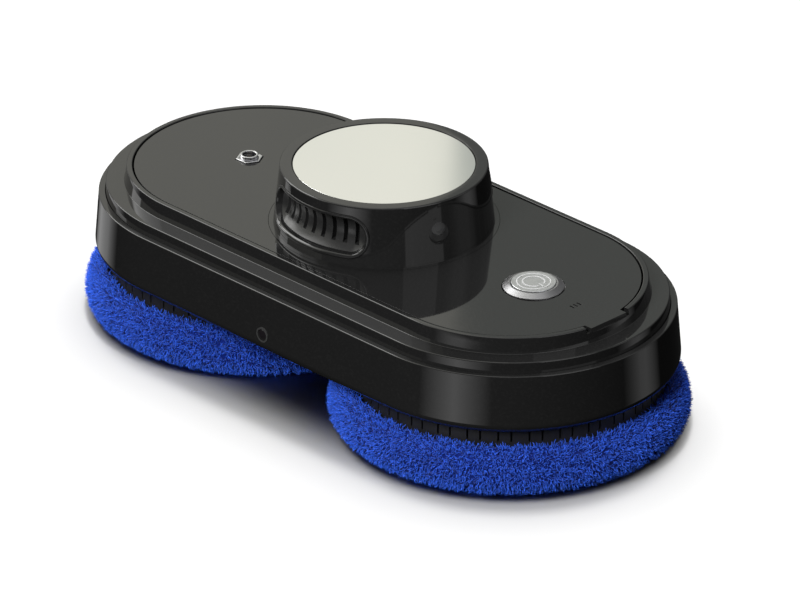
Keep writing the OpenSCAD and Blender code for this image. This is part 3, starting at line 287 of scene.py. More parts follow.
def finish(name, build, **constants):
    """A material whose shader gets constants on its own sockets, and wires from its build function."""
    found = bpy.data.materials.get(name)
    if found:
        return found
    material = bpy.data.materials.new(name)
    material.use_nodes = True
    recipe = Recipe(material.node_tree)
    wires = build(recipe)
    sockets = {key.replace("_", " ").title().replace("Ior", "IOR"): value for key, value in constants.items()}
    sockets.update(wires)
    shader = recipe.add("ShaderNodeBsdfPrincipled", None, sockets)
    recipe.add("ShaderNodeOutputMaterial", None, {0: shader})
    return material


def gloss_black(r):
    """Polished black moulding with faint dust and a slight orange peel."""
    dust = (r.noise(900, 3) - 0.5).most(0)
    peel = r.noise(160, 1)
    return {"Base Color": r.mix(dust * 0.35, shades().black, (0.03, 0.03, 0.029)),
            "Roughness": 0.025 + r.noise(35, 3) * 0.02 + dust * 0.1,
            "Normal": r.bump(peel, 0.006, 0.0004)}


def matte_black(r):
    """Matte black plastic with a fine spark-eroded grain."""
    grain = r.noise(3800, 2)
    return {"Base Color": r.mix(r.noise(120, 3), shades().matte, (0.008, 0.008, 0.0085)),
            "Roughness": 0.46 + r.noise(260, 2) * 0.16,
            "Normal": r.bump(grain, 0.25, 0.0001)}


def grip_satin(r):
    """Satin black of the finger hollows."""
    grain = r.noise(2600, 2)
    return {"Base Color": r.mix(r.noise(150, 2), (0.012, 0.012, 0.012), (0.008, 0.008, 0.008)),
            "Roughness": 0.24 + r.noise(200, 2) * 0.08,
            "Normal": r.bump(grain, 0.05, 0.0001)}


def mirror_coat(r):
    """Mirror coated disc with faint wiping marks."""
    wipes = r.noise(14, 4)
    return {"Base Color": r.mix(wipes, shades().mirror, (0.89, 0.9, 0.88)),
            "Roughness": 0.03 + wipes * 0.03}


def turned_metal(middle_x, shade, rough):
    """Metal turned about an upright axis, with fine rings from the tool."""
    def build(r):
        x, y, z = r.parts(r.place())
        away = ((x - middle_x) * (x - middle_x) + y * y) ** 0.5
        rings = r.noise(1, 2, r.add("ShaderNodeCombineXYZ", None, {0: away * 9000, 1: z * 9000, 2: 0.5}))
        return {"Base Color": r.mix(r.noise(300, 2), shade, [c * 0.86 for c in shade]),
                "Roughness": rough + rings * 0.14,
                "Normal": r.bump(rings, 0.18, 0.00005)}
    return build


def plain(shade, rough, grain=900, spread=0.82, relief=0.12):
    """A moulded or machined finish with slight mottling and grain."""
    def build(r):
        mottle = r.noise(140, 3)
        return {"Base Color": r.mix(mottle, shade, [c * spread for c in shade]),
                "Roughness": rough + r.noise(420, 2) * 0.1 - 0.05,
                "Normal": r.bump(r.noise(grain, 2), relief, 0.0001)}
    return build


def microfibre(r):
    """Blue microfibre loops, dark at the root and lighter at the tip, each with its own tone; the dark root
    is painted shade between the loops.
    """
    reach = r.add("ShaderNodeAttribute", {"attribute_name": "reach"}, out=2)
    tone = r.add("ShaderNodeAttribute", {"attribute_name": "tone"}, out=2)
    deep = r.mix(tone, shades().tip, [c * 0.5 for c in shades().tip])
    # Painted shade: each loop darkens towards its root, where the loops shade each other.
    return {"Base Color": r.mix(((reach - 0.1) * 1.3).within(), shades().root, deep),
            "Roughness": 0.72 + tone * 0.1}


def backing(r):
    """The woven backing that shows between the loops, made dark as painted shade between the loops."""
    weave = r.noise(1500, 2)
    # Painted shade: the backing takes the loop root's dark blue, the shade between the loops.
    return {"Base Color": r.mix(weave, shades().root, [c * 2.4 for c in shades().root]),
            "Roughness": 0.85 + weave * 0.1,
            "Normal": r.bump(weave, 0.6, 0.0004)}


def slot_finish(slot):
    """The finish of one of the record's material slots."""
    button_x = bpy.context.scene.robot_button.x
    metal = {"metallic": 1.0}
    table = {
        "gloss_black": (gloss_black, {"ior": 1.5}),
        "matte_black": (matte_black, {}),
        "mirror_coat": (mirror_coat, metal),
        "bright_metal": (plain(shades().metal, 0.26, 2600), metal),
        "button_silver": (turned_metal(button_x, shades().cap, 0.3), metal),
        "steel": (plain((0.55, 0.55, 0.56), 0.32, 2200), metal),
        "brass": (plain((0.72, 0.55, 0.26), 0.3, 2200), metal),
        "sleeve_metal": (plain((0.72, 0.72, 0.73), 0.34, 1800), metal),
        "inner_grey": (plain((0.19, 0.19, 0.2), 0.55), {}),
        "white_plastic": (plain((0.3, 0.3, 0.3), 0.35, spread=0.95), {}),
        "gear_plastic": (plain((0.78, 0.75, 0.66), 0.42, spread=0.92), {}),
        "seal_rubber": (plain((0.022, 0.022, 0.022), 0.75, 1600), {}),
        "pad_microfibre": (backing, {"sheen_weight": 0.04}),
        "hook_nylon": (plain((0.03, 0.03, 0.033), 0.8, 4000, 0.5, 0.8), {}),
        "board_green": (plain((0.02, 0.14, 0.07), 0.4, 1200), {}),
        "chip_black": (plain((0.025, 0.025, 0.027), 0.5, 1600), {}),
        "cell_blue": (plain((0.05, 0.16, 0.42), 0.35, 500), {}),
        "sensor_lens": (plain((0.006, 0.005, 0.006), 0.08, 300, 0.7, 0.02), {"coat_weight": 1.0}),
    }
    build, constants = table[slot]
    return finish(slot + "_finish", build, **constants)


# Forms


def settle(name, mesh, body, slot, node, material=None, sharp=32.0):
    """Cleans a new mesh and links it as a piece of a body that replaces a node, in its slot's finish."""
    form = bmesh.new()
    form.from_mesh(mesh)
    bmesh.ops.remove_doubles(form, verts=form.verts, dist=1e-7)
    bmesh.ops.recalc_face_normals(form, faces=form.faces)
    form.to_mesh(mesh)
    form.free()
    mesh.shade_smooth()
    mesh.set_sharp_from_angle(angle=radians(sharp))
    mesh.materials.clear()
    mesh.materials.append(material or slot_finish(slot))
    piece = bpy.data.objects.new(name, mesh)
    bpy.context.scene.collection.objects.link(piece)
    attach(piece, body)
    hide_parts(node)
    level = piece.modifiers.new("even_normals", "WEIGHTED_NORMAL")
    level.mode, level.weight, level.keep_sharp = "FACE_AREA", 80, True
    return piece


def raw_mesh(name, points, faces):
    """A mesh from points and faces."""
    mesh = bpy.data.meshes.new(name)
    mesh.from_pydata([tuple(p) for p in points], [], faces)
    return mesh


def rounded(corners, steps=5):
    """A closed outline of (radius, height) points in which each corner is rounded by its own radius."""
    outline = []
    count = len(corners)
    for i, (x, z, fillet) in enumerate(corners):
        here = Vector((x, z))
        if not fillet:
            outline.append((x, z))
            continue
        back = (Vector(corners[i - 1][:2]) - here).normalized()
        on = (Vector(corners[(i + 1) % count][:2]) - here).normalized()
        half = acos(max(-1, min(1, back.dot(on)))) / 2
        middle = here + (back + on).normalized() * (fillet / sin(half))
        first = here + back * (fillet / tan(half)) - middle
        last = here + on * (fillet / tan(half)) - middle
        start = atan2(first.y, first.x)
        turn = (atan2(last.y, last.x) - start + pi) % (2 * pi) - pi
        for k in range(steps + 1):
            angle = start + turn * k / steps
            outline.append((middle.x + fillet * cos(angle), middle.y + fillet * sin(angle)))
    return outline


def swept(outline, stations, closed=True):
    """Points and faces of a closed outline carried along stations, each a function of the radius."""
    points = [place(x, z) for place in stations for x, z in outline]
    across, along = len(outline), len(stations)
    faces = []
    for s in range(along if closed else along - 1):
        here, there = s * across, (s + 1) % along * across
        for k in range(across):
            after = (k + 1) % across
            faces.append((here + k, here + after, there + after, there + k))
    if not closed:
        faces.append(tuple(range(across)))
        faces.append(tuple((along - 1) * across + k for k in reversed(range(across))))
    return points, faces


def built(name, points, faces, *place, **options):
    """A piece made from points and faces, settled in its place."""
    return settle(name, raw_mesh(name, points, faces), *place, **options)


def sweep(name, outline, stations, *place, **options):
    """A piece made by carrying a closed outline along stations, settled in its place."""
    return built(name, *swept(outline, stations), *place, **options)


def spoke(middle, angle):
    """A station about an upright axis at (middle, 0)."""
    return lambda x, z: (middle + x * cos(angle), x * sin(angle), z)


def circle_stations(middle, count=128):
    """Stations all around an upright axis."""
    return [spoke(middle, 2 * pi * i / count) for i in range(count)]


def track_stations(axle, count=96):
    """Stations around the stadium outline: half a turn about each axle."""
    half = [pi * i / count - pi / 2 for i in range(count + 1)]
    return [spoke(axle, a) for a in half] + [spoke(-axle, a + pi) for a in half]


def notched_stations(axle, half_gap, count=80):
    """Stations around the stadium from one side of the notch at the +X end to the other."""
    def beside(share, side):
        def place(x, z):
            start = asin(half_gap / x)
            angle = side * (start + (pi / 2 - start) * share)
            return axle + x * cos(angle), x * sin(angle), z
        return place
    first = [beside((i / count) ** 1.4, 1) for i in range(count + 1)]
    far = [spoke(-axle, pi / 2 + pi * i / count) for i in range(count + 1)]
    last = [beside((1 - i / count) ** 1.4, -1) for i in range(count + 1)]
    return first + far + last


def arc_points(middle, radius, start, stop, count):
    """Points of an arc in the plan, angles in radians."""
    turns = [start + (stop - start) * i / count for i in range(count + 1)]
    return [(middle + radius * cos(turn), radius * sin(turn)) for turn in turns]


def loop_points(middle, radius, count):
    """Points of a full circle or regular polygon in the plan."""
    return arc_points(middle, radius, 0, 2 * pi, count)[:-1]


def flat_plate(name, outlines, bottom, top, bevel):
    """A plate cut from closed outlines in the plan, the first its border and the others its holes."""
    curve = bpy.data.curves.new(name, "CURVE")
    curve.dimensions, curve.fill_mode = "2D", "BOTH"
    curve.extrude, curve.bevel_depth, curve.bevel_resolution = (top - bottom) / 2 - bevel, bevel, 2
    curve.offset = -bevel
    for outline in outlines:
        spline = curve.splines.new("POLY")
        spline.points.add(len(outline) - 1)
        for point, (x, y) in zip(spline.points, outline):
            point.co = (x, y, 0, 1)
        spline.use_cyclic_u = True
    holder = bpy.data.objects.new(name, curve)
    bpy.context.scene.collection.objects.link(holder)
    view = bpy.context.evaluated_depsgraph_get()
    mesh = bpy.data.meshes.new_from_object(holder.evaluated_get(view))
    bpy.data.objects.remove(holder)
    bpy.data.curves.remove(curve)
    for vertex in mesh.vertices:
        vertex.co.z += (top + bottom) / 2
    return mesh


class HandleWall:
    """The leaning wall of the handle, in arc length and height around the middle of a finger grip."""

    def __init__(self, sizes, foot_z, side):
        self.s, self.foot_z, self.side = sizes, foot_z, side

    def radius(self, z):
        s = self.s
        return s.foot - (s.foot - s.top) * (z - self.foot_z) / (s.top_z - self.foot_z)

    def spot(self, u, v, lift=0.0, radius=None):
        """The point at arc length u and height v from the grip's middle, lifted off the wall."""
        angle = -pi / 2 + self.side + u / self.s.grip_face
        z = self.s.grip_z + v
        away = (self.radius(z) if radius is None else radius) + lift
        return away * cos(angle), away * sin(angle), z

    def middle(self, u):
        """The nearest point of the line between the centres of the round ends."""
        end = self.s.grip_end * self.s.grip_face
        return max(-end, min(end, u))


# Operators


class PieceOperator:
    """What the operators share."""
    bl_options = {"REGISTER", "UNDO"}


class ROBOT_OT_finishes(PieceOperator, bpy.types.Operator):
    """Give every moulded, machined and printed piece its finish"""
    bl_idname = "robot.finishes"
    bl_label = "Finishes"

    def execute(self, context):
        for part in frame["record"]["subparts"]:
            mesh = frame["nodes"][part["node"]].data
            mesh.materials.clear()
            own = part["node"] == "sensor_bezel"
            mesh.materials.append(finish("sensor_bezel_finish", plain((0.024, 0.024, 0.024), 0.4)) if own
                                  else slot_finish(part["material_slot"]))
            mesh.shade_smooth()
            mesh.set_sharp_from_angle(angle=radians(28))
        return {"FINISHED"}


class ROBOT_OT_skirt(PieceOperator, bpy.types.Operator):
    """Build the lower shell with its rounded lower edge and ledge"""
    bl_idname = "robot.skirt"
    bl_label = "Skirt"

    def execute(self, context):
        s, axle = context.scene.robot_body, context.scene.robot_pad.axle
        lean = (s.skirt - s.ledge) / (s.ledge_z - s.edge_z)
        seam = 0.00015
        outline = rounded([
            (s.foot, s.base_z, 0), (s.skirt + lean * s.lower_edge, s.base_z, s.lower_edge),
            (s.ledge, s.ledge_z, s.edge), (s.shoulder_base + seam, s.ledge_z, seam),
            (s.shoulder_base + seam, s.ledge_z - s.wall, 0), (s.ledge - s.wall, s.ledge_z - s.wall, 0),
            (s.skirt - s.wall, s.edge_z, 0), (s.skirt - s.lower_edge, s.base_z + s.foot_t, 0),
            (s.foot, s.base_z + s.foot_t, 0)], steps=8)
        sweep("skirt_shell", outline, track_stations(axle), "body", "gloss_black", "outer_skirt")
        return {"FINISHED"}


class ROBOT_OT_top_frame(PieceOperator, bpy.types.Operator):
    """Build the shoulder, the terrace and the lip with its notch for the deck's tab"""
    bl_idname = "robot.top_frame"
    bl_label = "Top frame"

    def execute(self, context):
        s, axle = context.scene.robot_body, context.scene.robot_pad.axle
        under = s.deck_z - s.deck_t
        lip_mid = s.lip_base - (s.lip_base - s.lip) * (under - s.terrace_z) / (s.rim_z - s.terrace_z)
        lower = rounded([
            (s.shoulder_base, s.ledge_z - 2 * s.wall, 0), (s.shoulder_base, s.ledge_z, 0),
            (s.shoulder, s.terrace_z, s.edge), (s.lip_base, s.terrace_z, 0.00025), (lip_mid, under, 0),
            (s.well, under, 0), (s.well, under - s.wall, 0), (s.lip_base - s.wall, s.terrace_z - s.wall, 0),
            (s.shoulder - s.wall, s.terrace_z - s.wall, 0), (s.shoulder - s.wall, s.ledge_z - 2 * s.wall, 0)])
        upper = rounded([(lip_mid, under, 0), (s.lip, s.rim_z, s.edge), (s.well, s.rim_z, s.edge * 0.8),
                         (s.well, under, 0)])
        points, faces = swept(lower, track_stations(axle))
        more, rest = swept(upper, notched_stations(axle, s.tab / 2 + s.tab_gap), closed=False)
        faces += [tuple(i + len(points) for i in face) for face in rest]
        built("lip_frame", points + more, faces, "body", "gloss_black", "top_frame")
        return {"FINISHED"}


class ROBOT_OT_deck(PieceOperator, bpy.types.Operator):
    """Build the deck plate with its tab, its holes and the sound slits"""
    bl_idname = "robot.deck"
    bl_label = "Deck plate"

    def execute(self, context):
        s, handle = context.scene.robot_body, context.scene.robot_handle
        button, axle = context.scene.robot_button, context.scene.robot_pad.axle
        half = s.tab / 2
        deck_angle = asin(half / s.deck)
        border = [(axle + s.lip - s.tab_drop, -half), (axle + s.lip - s.tab_drop, half)]
        border += arc_points(axle, s.deck, deck_angle, pi / 2, 90)
        border += arc_points(-axle, s.deck, pi / 2, 1.5 * pi, 180)
        border += arc_points(axle, s.deck, -pi / 2, -deck_angle, 90)
        holes = [loop_points(0, handle.collar_hole, 180), loop_points(button.x, button.hole, 96),
                 loop_points(button.inlet_x, button.pocket, 6)]
        for i in (-1, 0, 1):
            holes.append([(s.buzzer_x + a * s.slit_l / 2, i * s.slit_pitch + b * s.slit_w / 2)
                          for a, b in ((-1, -1), (1, -1), (1, 1), (-1, 1))])
        mesh = flat_plate("deck", [border] + [hole[::-1] for hole in holes], s.deck_z - s.deck_t, s.deck_z,
                          0.00004)
        settle("deck_top", mesh, "body", "gloss_black", "deck_plate")
        return {"FINISHED"}


class ROBOT_OT_handle(PieceOperator, bpy.types.Operator):
    """Build the handle with the rims of both finger openings, and the flush ring around its foot"""
    bl_idname = "robot.handle"
    bl_label = "Handle"

    def execute(self, context):
        s, deck_z = context.scene.robot_handle, context.scene.robot_body.deck_z
        low, high = deck_z, s.top_z - s.edge
        rim_reach, low_gap, high_gap, end_gap = 0.0018, 0.0007, 0.0009, 0.0006
        reach_v, low_v, high_v = s.grip_half + rim_reach, low - s.grip_z + low_gap, high - s.grip_z - high_gap
        reach_u = s.grip_end * s.grip_face + reach_v + end_gap
        points, faces = [], []

        def strip(rows, closed):
            base, width = len(points), len(rows[0])
            for row in rows:
                points.extend(row)
            for j in range(len(rows) - 1):
                for i in range(width if closed else width - 1):
                    a, b = base + j * width + i, base + j * width + (i + 1) % width
                    faces.append((a, b, b + width, a + width))

        for side in (0.0, pi):
            wall = HandleWall(s, deck_z, side)
            across = np.linspace(-reach_u, reach_u, 97)
            upright = np.linspace(low_v, high_v, 21)
            edge = [(u, low_v) for u in across[:-1]] + [(reach_u, v) for v in upright[:-1]]
            edge += [(u, high_v) for u in across[:0:-1]] + [(-reach_u, v) for v in upright[:0:-1]]
            rays = []
            for u, v in edge:
                centre = wall.middle(u)
                size = hypot(u - centre, v)
                rays.append((centre, (u - centre) / size, v / size, size))
            rim = [(0.4, 0.0), (0.3, 0.0), (0.28, -0.35), (0.12, -0.35), (0.1, 0.1), (0.02, 0.3),
                   (-0.15, 0.4), (-0.5, 0.45), (-0.85, 0.4), (-1.15, 0.28), (-1.4, 0.05), (-1.6, -0.3),
                   (-1.75, -0.8), (-1.86, -1.4), (-1.95, -2.2), (-2.0, -3.0)]
            start = s.grip_half + rim[0][0] / 1000
            rows = [[wall.spot(*p) for p in edge]]
            for share in (0.75, 0.5, 0.25, 0.0):
                away = [start + (size - start) * share for c, du, dv, size in rays]
                rows.append([wall.spot(c + du * a, dv * a) for a, (c, du, dv, size) in zip(away, rays)])
            for out, lift in rim[1:]:
                away = s.grip_half + out / 1000
                rows.append([wall.spot(c + du * away, dv * away, lift / 1000) for c, du, dv, size in rays])
            strip(rows, True)
            ends = [low - s.grip_z] + list(upright) + [high - s.grip_z]
            for pair in (ends[:2], ends[-2:]):
                strip([[wall.spot(u, v) for u in across] for v in pair], False)
            far = pi * s.grip_face - reach_u
            aside = np.linspace(reach_u, far, 49)
            strip([[wall.spot(u, v) for u in aside] for v in ends], False)
        top = rounded([(s.top + (s.foot - s.top) * s.edge / (s.top_z - low) + 1e-9, high, 0),
                       (s.top, s.top_z, s.edge * 0.92), (s.mirror + s.mirror_gap, s.top_z, 0.0002),
                       (s.mirror + s.mirror_gap, s.top_z - s.mirror_drop - s.mirror_t, 0)])
        ring = circle_stations(0, 256)
        strip([[place(x, z) for place in ring] for x, z in top], True)
        built("handle_outside", points, faces, "body", "gloss_black", "handle_shell")
        tuck, thickness = 0.0045, 0.0018
        inner, under = s.foot - tuck, deck_z - thickness
        collar = [(inner, under), (s.collar, under), (s.collar, deck_z), (inner, deck_z)]
        sweep("flush_ring", collar, circle_stations(0, 192), "body", "gloss_black", "handle_collar")
        return {"FINISHED"}


class ROBOT_OT_finger_grips(PieceOperator, bpy.types.Operator):
    """Build the hollow inserts of the finger openings with their curved air slots"""
    bl_idname = "robot.finger_grips"
    bl_label = "Finger grips"

    def execute(self, context):
        s, deck_z = context.scene.robot_handle, context.scene.robot_body.deck_z
        overlap, least_step, tuck = 0.0006, 0.0002, 0.0009
        reach = s.grip_half + overlap
        middles = [(i - (s.vent_count - 1) / 2) * s.vent_pitch * s.grip_face for i in range(s.vent_count)]
        half = s.vent_w / 2 * s.grip_face / (s.grip_core - s.grip_arc)
        across = set(np.round(np.linspace(-1, 1, 91) * (s.grip_end * s.grip_face + reach), 6))
        across = {u for u in across if all(abs(abs(u - m) - half) > least_step for m in middles)}
        across |= {round(m + side * half, 6) for m in middles for side in (-1, 1)}
        across = sorted(across)
        upright = sorted(set(np.round(np.linspace(-reach, reach, 45), 6)) | {-s.vent_low, s.vent_high})

        def depth(wall, u, v):
            away = hypot(u - wall.middle(u), v)
            if away >= s.grip_half:
                return s.grip_face - tuck
            return s.grip_core - sqrt(s.grip_arc ** 2 - away ** 2)

        for name, side in (("front", 0.0), ("back", pi)):
            wall = HandleWall(s, deck_z, side)
            points, faces, known = [], [], {}

            def corner(i, j, sunk):
                key = (i, j, sunk)
                if key not in known:
                    known[key] = len(points)
                    u, v = across[i], upright[j]
                    away = depth(wall, u, v) + (wall.radius(s.grip_z + v) - s.grip_face)
                    points.append(wall.spot(u, v, radius=away - (s.vent_depth if sunk else 0)))
                return known[key]

            def slotted(i, j):
                if not (0 <= i < len(across) - 1 and 0 <= j < len(upright) - 1):
                    return False
                u, v = (across[i] + across[i + 1]) / 2, (upright[j] + upright[j + 1]) / 2
                return -s.vent_low < v < s.vent_high and any(abs(u - m) < half for m in middles)

            for i in range(len(across) - 1):
                for j in range(len(upright) - 1):
                    sunk = slotted(i, j)
                    ring = ((i, j), (i + 1, j), (i + 1, j + 1), (i, j + 1))
                    faces.append(tuple(corner(*p, sunk) for p in ring))
                    beside = ((i, j - 1), (i + 1, j), (i, j + 1), (i - 1, j))
                    for k, (p, q) in enumerate(zip(ring, ring[1:] + ring[:1])):
                        if sunk and not slotted(*beside[k]):
                            faces.append((corner(*p, False), corner(*q, False), corner(*q, True),
                                          corner(*p, True)))
            built("grip_hollow_" + name, points, faces, "body", "matte_black", "grip_insert_" + name,
                  finish("grip_satin", grip_satin), sharp=40)
        return {"FINISHED"}


class ROBOT_OT_mirror_disc(PieceOperator, bpy.types.Operator):
    """Build the mirror disc on top of the handle"""
    bl_idname = "robot.mirror_disc"
    bl_label = "Mirror disc"

    def execute(self, context):
        s = context.scene.robot_handle
        top = s.top_z - s.mirror_drop
        outline = rounded([(0, top - s.mirror_t, 0), (s.mirror, top - s.mirror_t, 0), (s.mirror, top, 0.0001),
                           (0, top, 0)])
        sweep("mirror_top", outline, circle_stations(0, 192), "body", "mirror_coat", "mirror_disc")
        return {"FINISHED"}


class ROBOT_OT_button(PieceOperator, bpy.types.Operator):
    """Build the turned bezel of the power button and its push cap"""
    bl_idname = "robot.button"
    bl_label = "Power button"

    def execute(self, context):
        s, deck_z = context.scene.robot_button, context.scene.robot_body.deck_z
        top = deck_z + s.bezel_h
        bezel_depth, cap_t = 0.004, 0.002
        under = deck_z - bezel_depth
        bezel = rounded([(s.bezel, under, 0), (s.bezel, deck_z + s.bezel_rim, 0.0003),
                         (s.bezel - s.slope, top, 0.00025), (s.bore, top, 0.00015), (s.bore, under, 0)])
        # Painted shade: the bezel gets a darker copy of the bright metal than the inlet.
        metal = finish("bezel_finish", turned_metal(s.x, shades().bezel, 0.36), metallic=1.0)
        sweep("bezel_ring", bezel, circle_stations(s.x), "body", "bright_metal", "button_bezel", metal)
        under = s.cap_z - cap_t
        cap = rounded([(0, under, 0), (s.cap, under, 0), (s.cap, s.cap_z, 0.0003), (0, s.cap_z, 0)])
        sweep("cap_top", cap, circle_stations(s.x), "button", "button_silver", "button_cap")
        coil = bpy.data.objects.new("return_spring", frame["nodes"]["button_spring"].data.copy())
        context.scene.collection.objects.link(coil)
        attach(coil, "body")
        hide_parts("button_spring")
        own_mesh(coil)
        return {"FINISHED"}


class ROBOT_OT_inlet(PieceOperator, bpy.types.Operator):
    """Build the power inlet's tube and its hexagonal nut"""
    bl_idname = "robot.inlet"
    bl_label = "Power inlet"

    def execute(self, context):
        s = context.scene.robot_button
        metal = finish("inlet_finish", turned_metal(s.inlet_x, shades().metal, 0.2), metallic=1.0)
        foot, floor_t, nut_t = 0.0023, 0.0014, 0.0022
        low = s.tube_z - s.tube_depth - foot
        bore_floor = low + floor_t
        tube = rounded([(0, low, 0), (s.tube, low, 0), (s.tube, s.tube_z, 0.0003),
                        (s.tube_bore, s.tube_z, 0.0003), (s.tube_bore, bore_floor, 0), (0, bore_floor, 0)])
        sweep("inlet_tube", tube, circle_stations(s.inlet_x, 64), "body", "bright_metal", "power_socket",
              metal)
        hexagon = loop_points(s.inlet_x, s.nut, 6)
        hole = loop_points(s.inlet_x, s.tube + 0.00008, 48)
        mesh = flat_plate("nut", [hexagon, hole[::-1]], s.nut_z - nut_t, s.nut_z, 0.00025)
        settle("inlet_nut", mesh, "body", "bright_metal", "socket_nut", metal)
        return {"FINISHED"}


class ROBOT_OT_pads(PieceOperator, bpy.types.Operator):
    """Build both microfibre pads: a crowned backing and its curly loops"""
    bl_idname = "robot.pads"
    bl_label = "Pads"

    def side_curve(self, s):
        """Points of the outside from the flat underside up around the widest line to the rim's inside."""
        low = [(s.under + (s.backing - s.under) * sin(t), s.wide_z - (s.wide_z - s.lift) * cos(t))
               for t in np.linspace(0, pi / 2, 16)]
        rim_x = s.inner + s.crown * 2.4
        top = s.top_z - s.crown
        high = [(rim_x + (s.backing - rim_x) * cos(t),
                 s.wide_z + (top - s.wide_z) * sin(t) ** 1.15)
                for t in np.linspace(0, pi / 2, 17)[1:]]
        crown = [(rim_x - (rim_x - s.inner - 0.0002) * sin(t) * 0.98,
                  top + s.crown * sin(min(1.0, t * 2.0) * pi / 2))
                 for t in np.linspace(0, 1, 7)[1:]]
        return low + high + crown

    def loops(self, s, seed):
        """Roots, outward normals, angles and sizes of the loops on a quarter of a pad about its axle."""
        rng = np.random.default_rng(seed)
        line = np.array(self.side_curve(s))
        step = np.hypot(*np.diff(line, axis=0).T)
        weight = step * (line[1:, 0] + line[:-1, 0]) / 2
        pick = rng.choice(len(step), s.side_count, p=weight / weight.sum())
        part = rng.random(s.side_count)
        span = line[pick + 1] - line[pick]
        spot = line[pick] + span * part[:, None]
        run = span / step[pick][:, None]
        out = np.stack([run[:, 1], -run[:, 0]], 1)
        radius = np.sqrt(rng.uniform(s.hole ** 2, s.under ** 2, s.under_count))
        under = np.stack([radius, np.full(s.under_count, s.lift)], 1)
        down = np.tile([0.0, -1.0], (s.under_count, 1))
        wall_count = s.under_count // 5
        height = rng.uniform(s.lift, s.floor_z - 0.001, wall_count)
        inside = np.stack([np.full(wall_count, s.hole), height], 1)
        inward = np.tile([-1.0, 0.0], (wall_count, 1))
        spots, normals = np.vstack([spot, under, inside]), np.vstack([out, down, inward])
        angle = rng.uniform(0, pi / 2, len(spots))
        size = np.concatenate([np.ones(s.side_count), np.full(s.under_count + wall_count, 0.45)])
        return spots, normals, angle, size, rng

    def quarter(self, s, seed):
        """Points, faces, reach and tone of the loops on a quarter of a pad."""
        sink, least_height = 0.0003, 0.00006
        spots, normals, angle, size, rng = self.loops(s, seed)
        count = len(spots)
        cosine, sine = np.cos(angle), np.sin(angle)
        root = np.stack([spots[:, 0] * cosine, spots[:, 0] * sine, spots[:, 1]], 1)
        normal = np.stack([normals[:, 0] * cosine, normals[:, 0] * sine, normals[:, 1]], 1)
        around = np.stack([-sine, cosine, np.zeros(count)], 1)
        across = np.cross(normal, around)
        heading = rng.uniform(0, 2 * pi, count)
        lean = around * np.cos(heading)[:, None] + across * np.sin(heading)[:, None]
        turn = np.cross(normal, lean)
        long = s.loop * size * rng.uniform(0.62, 1.12, count)
        tilt = rng.uniform(0.1, 0.95, count)
        curl = rng.uniform(-1.5, 1.5, count)
        swing = rng.uniform(-0.9, 0.9, count)
        rings, sides = 4, 3
        here, path = root - normal * sink, []
        for k in range(rings):
            path.append(here)
            share = (k + 0.5) / (rings - 1)
            bend = tilt + curl * share
            way = (normal * np.cos(bend)[:, None] + lean * np.sin(bend)[:, None]
                   + turn * (np.sin(swing * share * 2))[:, None] * 0.5)
            way /= np.linalg.norm(way, axis=1)[:, None]
            here = here + way * (long / (rings - 1))[:, None]
        path = np.stack(path, 1)
        thick = s.loop_w / 2 * rng.uniform(0.75, 1.15, count)
        taper = np.array([0.9, 1.0, 0.9, 0.4])
        upright = np.cross(normal, turn) * 0.75 + normal * 0.5
        angles = np.arange(sides) * 2 * pi / sides
        offset = (turn[:, None, :] * np.cos(angles)[None, :, None]
                  + upright[:, None, :] * np.sin(angles)[None, :, None])
        points = (path[:, :, None, :]
                  + offset[:, None, :, :] * (thick[:, None] * taper[None, :])[:, :, None, None])
        points[..., 2] = np.maximum(points[..., 2], least_height)
        base = (np.arange(count) * rings * sides)[:, None, None]
        ring = (np.arange(rings - 1) * sides)[None, :, None]
        a = base + ring + np.arange(sides)
        b = base + ring + (np.arange(sides) + 1) % sides
        quads = np.stack([a, b, b + sides, a + sides], -1).reshape(-1, 4)
        reach = np.tile(np.repeat(np.linspace(0, 1, rings), sides), count)
        tone = np.repeat(rng.random(count), rings * sides)
        return points.reshape(-1, 3), quads, reach, tone

    def loop_mesh(self, name, points, quads, reach, tone):
        """A mesh of loops with the reach and tone that the finish reads."""
        mesh = bpy.data.meshes.new(name)
        mesh.vertices.add(len(points))
        mesh.vertices.foreach_set("co", points.astype(np.float32).ravel())
        mesh.loops.add(len(quads) * 4)
        mesh.loops.foreach_set("vertex_index", quads.astype(np.int32).ravel())
        mesh.polygons.add(len(quads))
        mesh.polygons.foreach_set("loop_start", np.arange(0, len(quads) * 4, 4, dtype=np.int32))
        for label, values in (("reach", reach), ("tone", tone)):
            layer = mesh.attributes.new(label, "FLOAT", "POINT")
            layer.data.foreach_set("value", values.astype(np.float32))
        mesh.update(calc_edges=True)
        mesh.shade_smooth()
        return mesh

    def execute(self, context):
        s = context.scene.robot_pad
        outline = [(s.hole, s.floor_z - 0.0004), (s.hole, s.lift)] + self.side_curve(s)
        outline += [(s.inner + 0.0001, s.top_z - 0.001), (s.inner, s.floor_z), (s.hole, s.floor_z)]
        fleece = finish("microfibre_finish", microfibre, sheen_weight=0.04, sheen_roughness=0.4,
                        specular_ior_level=0.25)
        seed = 11
        quarter = self.quarter(s, seed)
        for name, axle in (("right", s.axle), ("left", -s.axle)):
            pad = sweep("pad_backing_" + name, outline, circle_stations(axle, 160), "wheel_" + name,
                        "pad_microfibre", "pad_" + name, sharp=60)
            for k in range(4):
                label = f"pad_loops_{name}_{k + 1}"
                turn = k * pi / 2 + (pi / 4 if name == "left" else 0)
                x, y, z = quarter[0].T
                points = np.stack([axle + x * cos(turn) - y * sin(turn), x * sin(turn) + y * cos(turn), z], 1)
                piece = bpy.data.objects.new(label, self.loop_mesh(label, points, *quarter[1:]))
                context.scene.collection.objects.link(piece)
                piece.data.materials.append(fleece)
                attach(piece, "wheel_" + name)
        return {"FINISHED"}


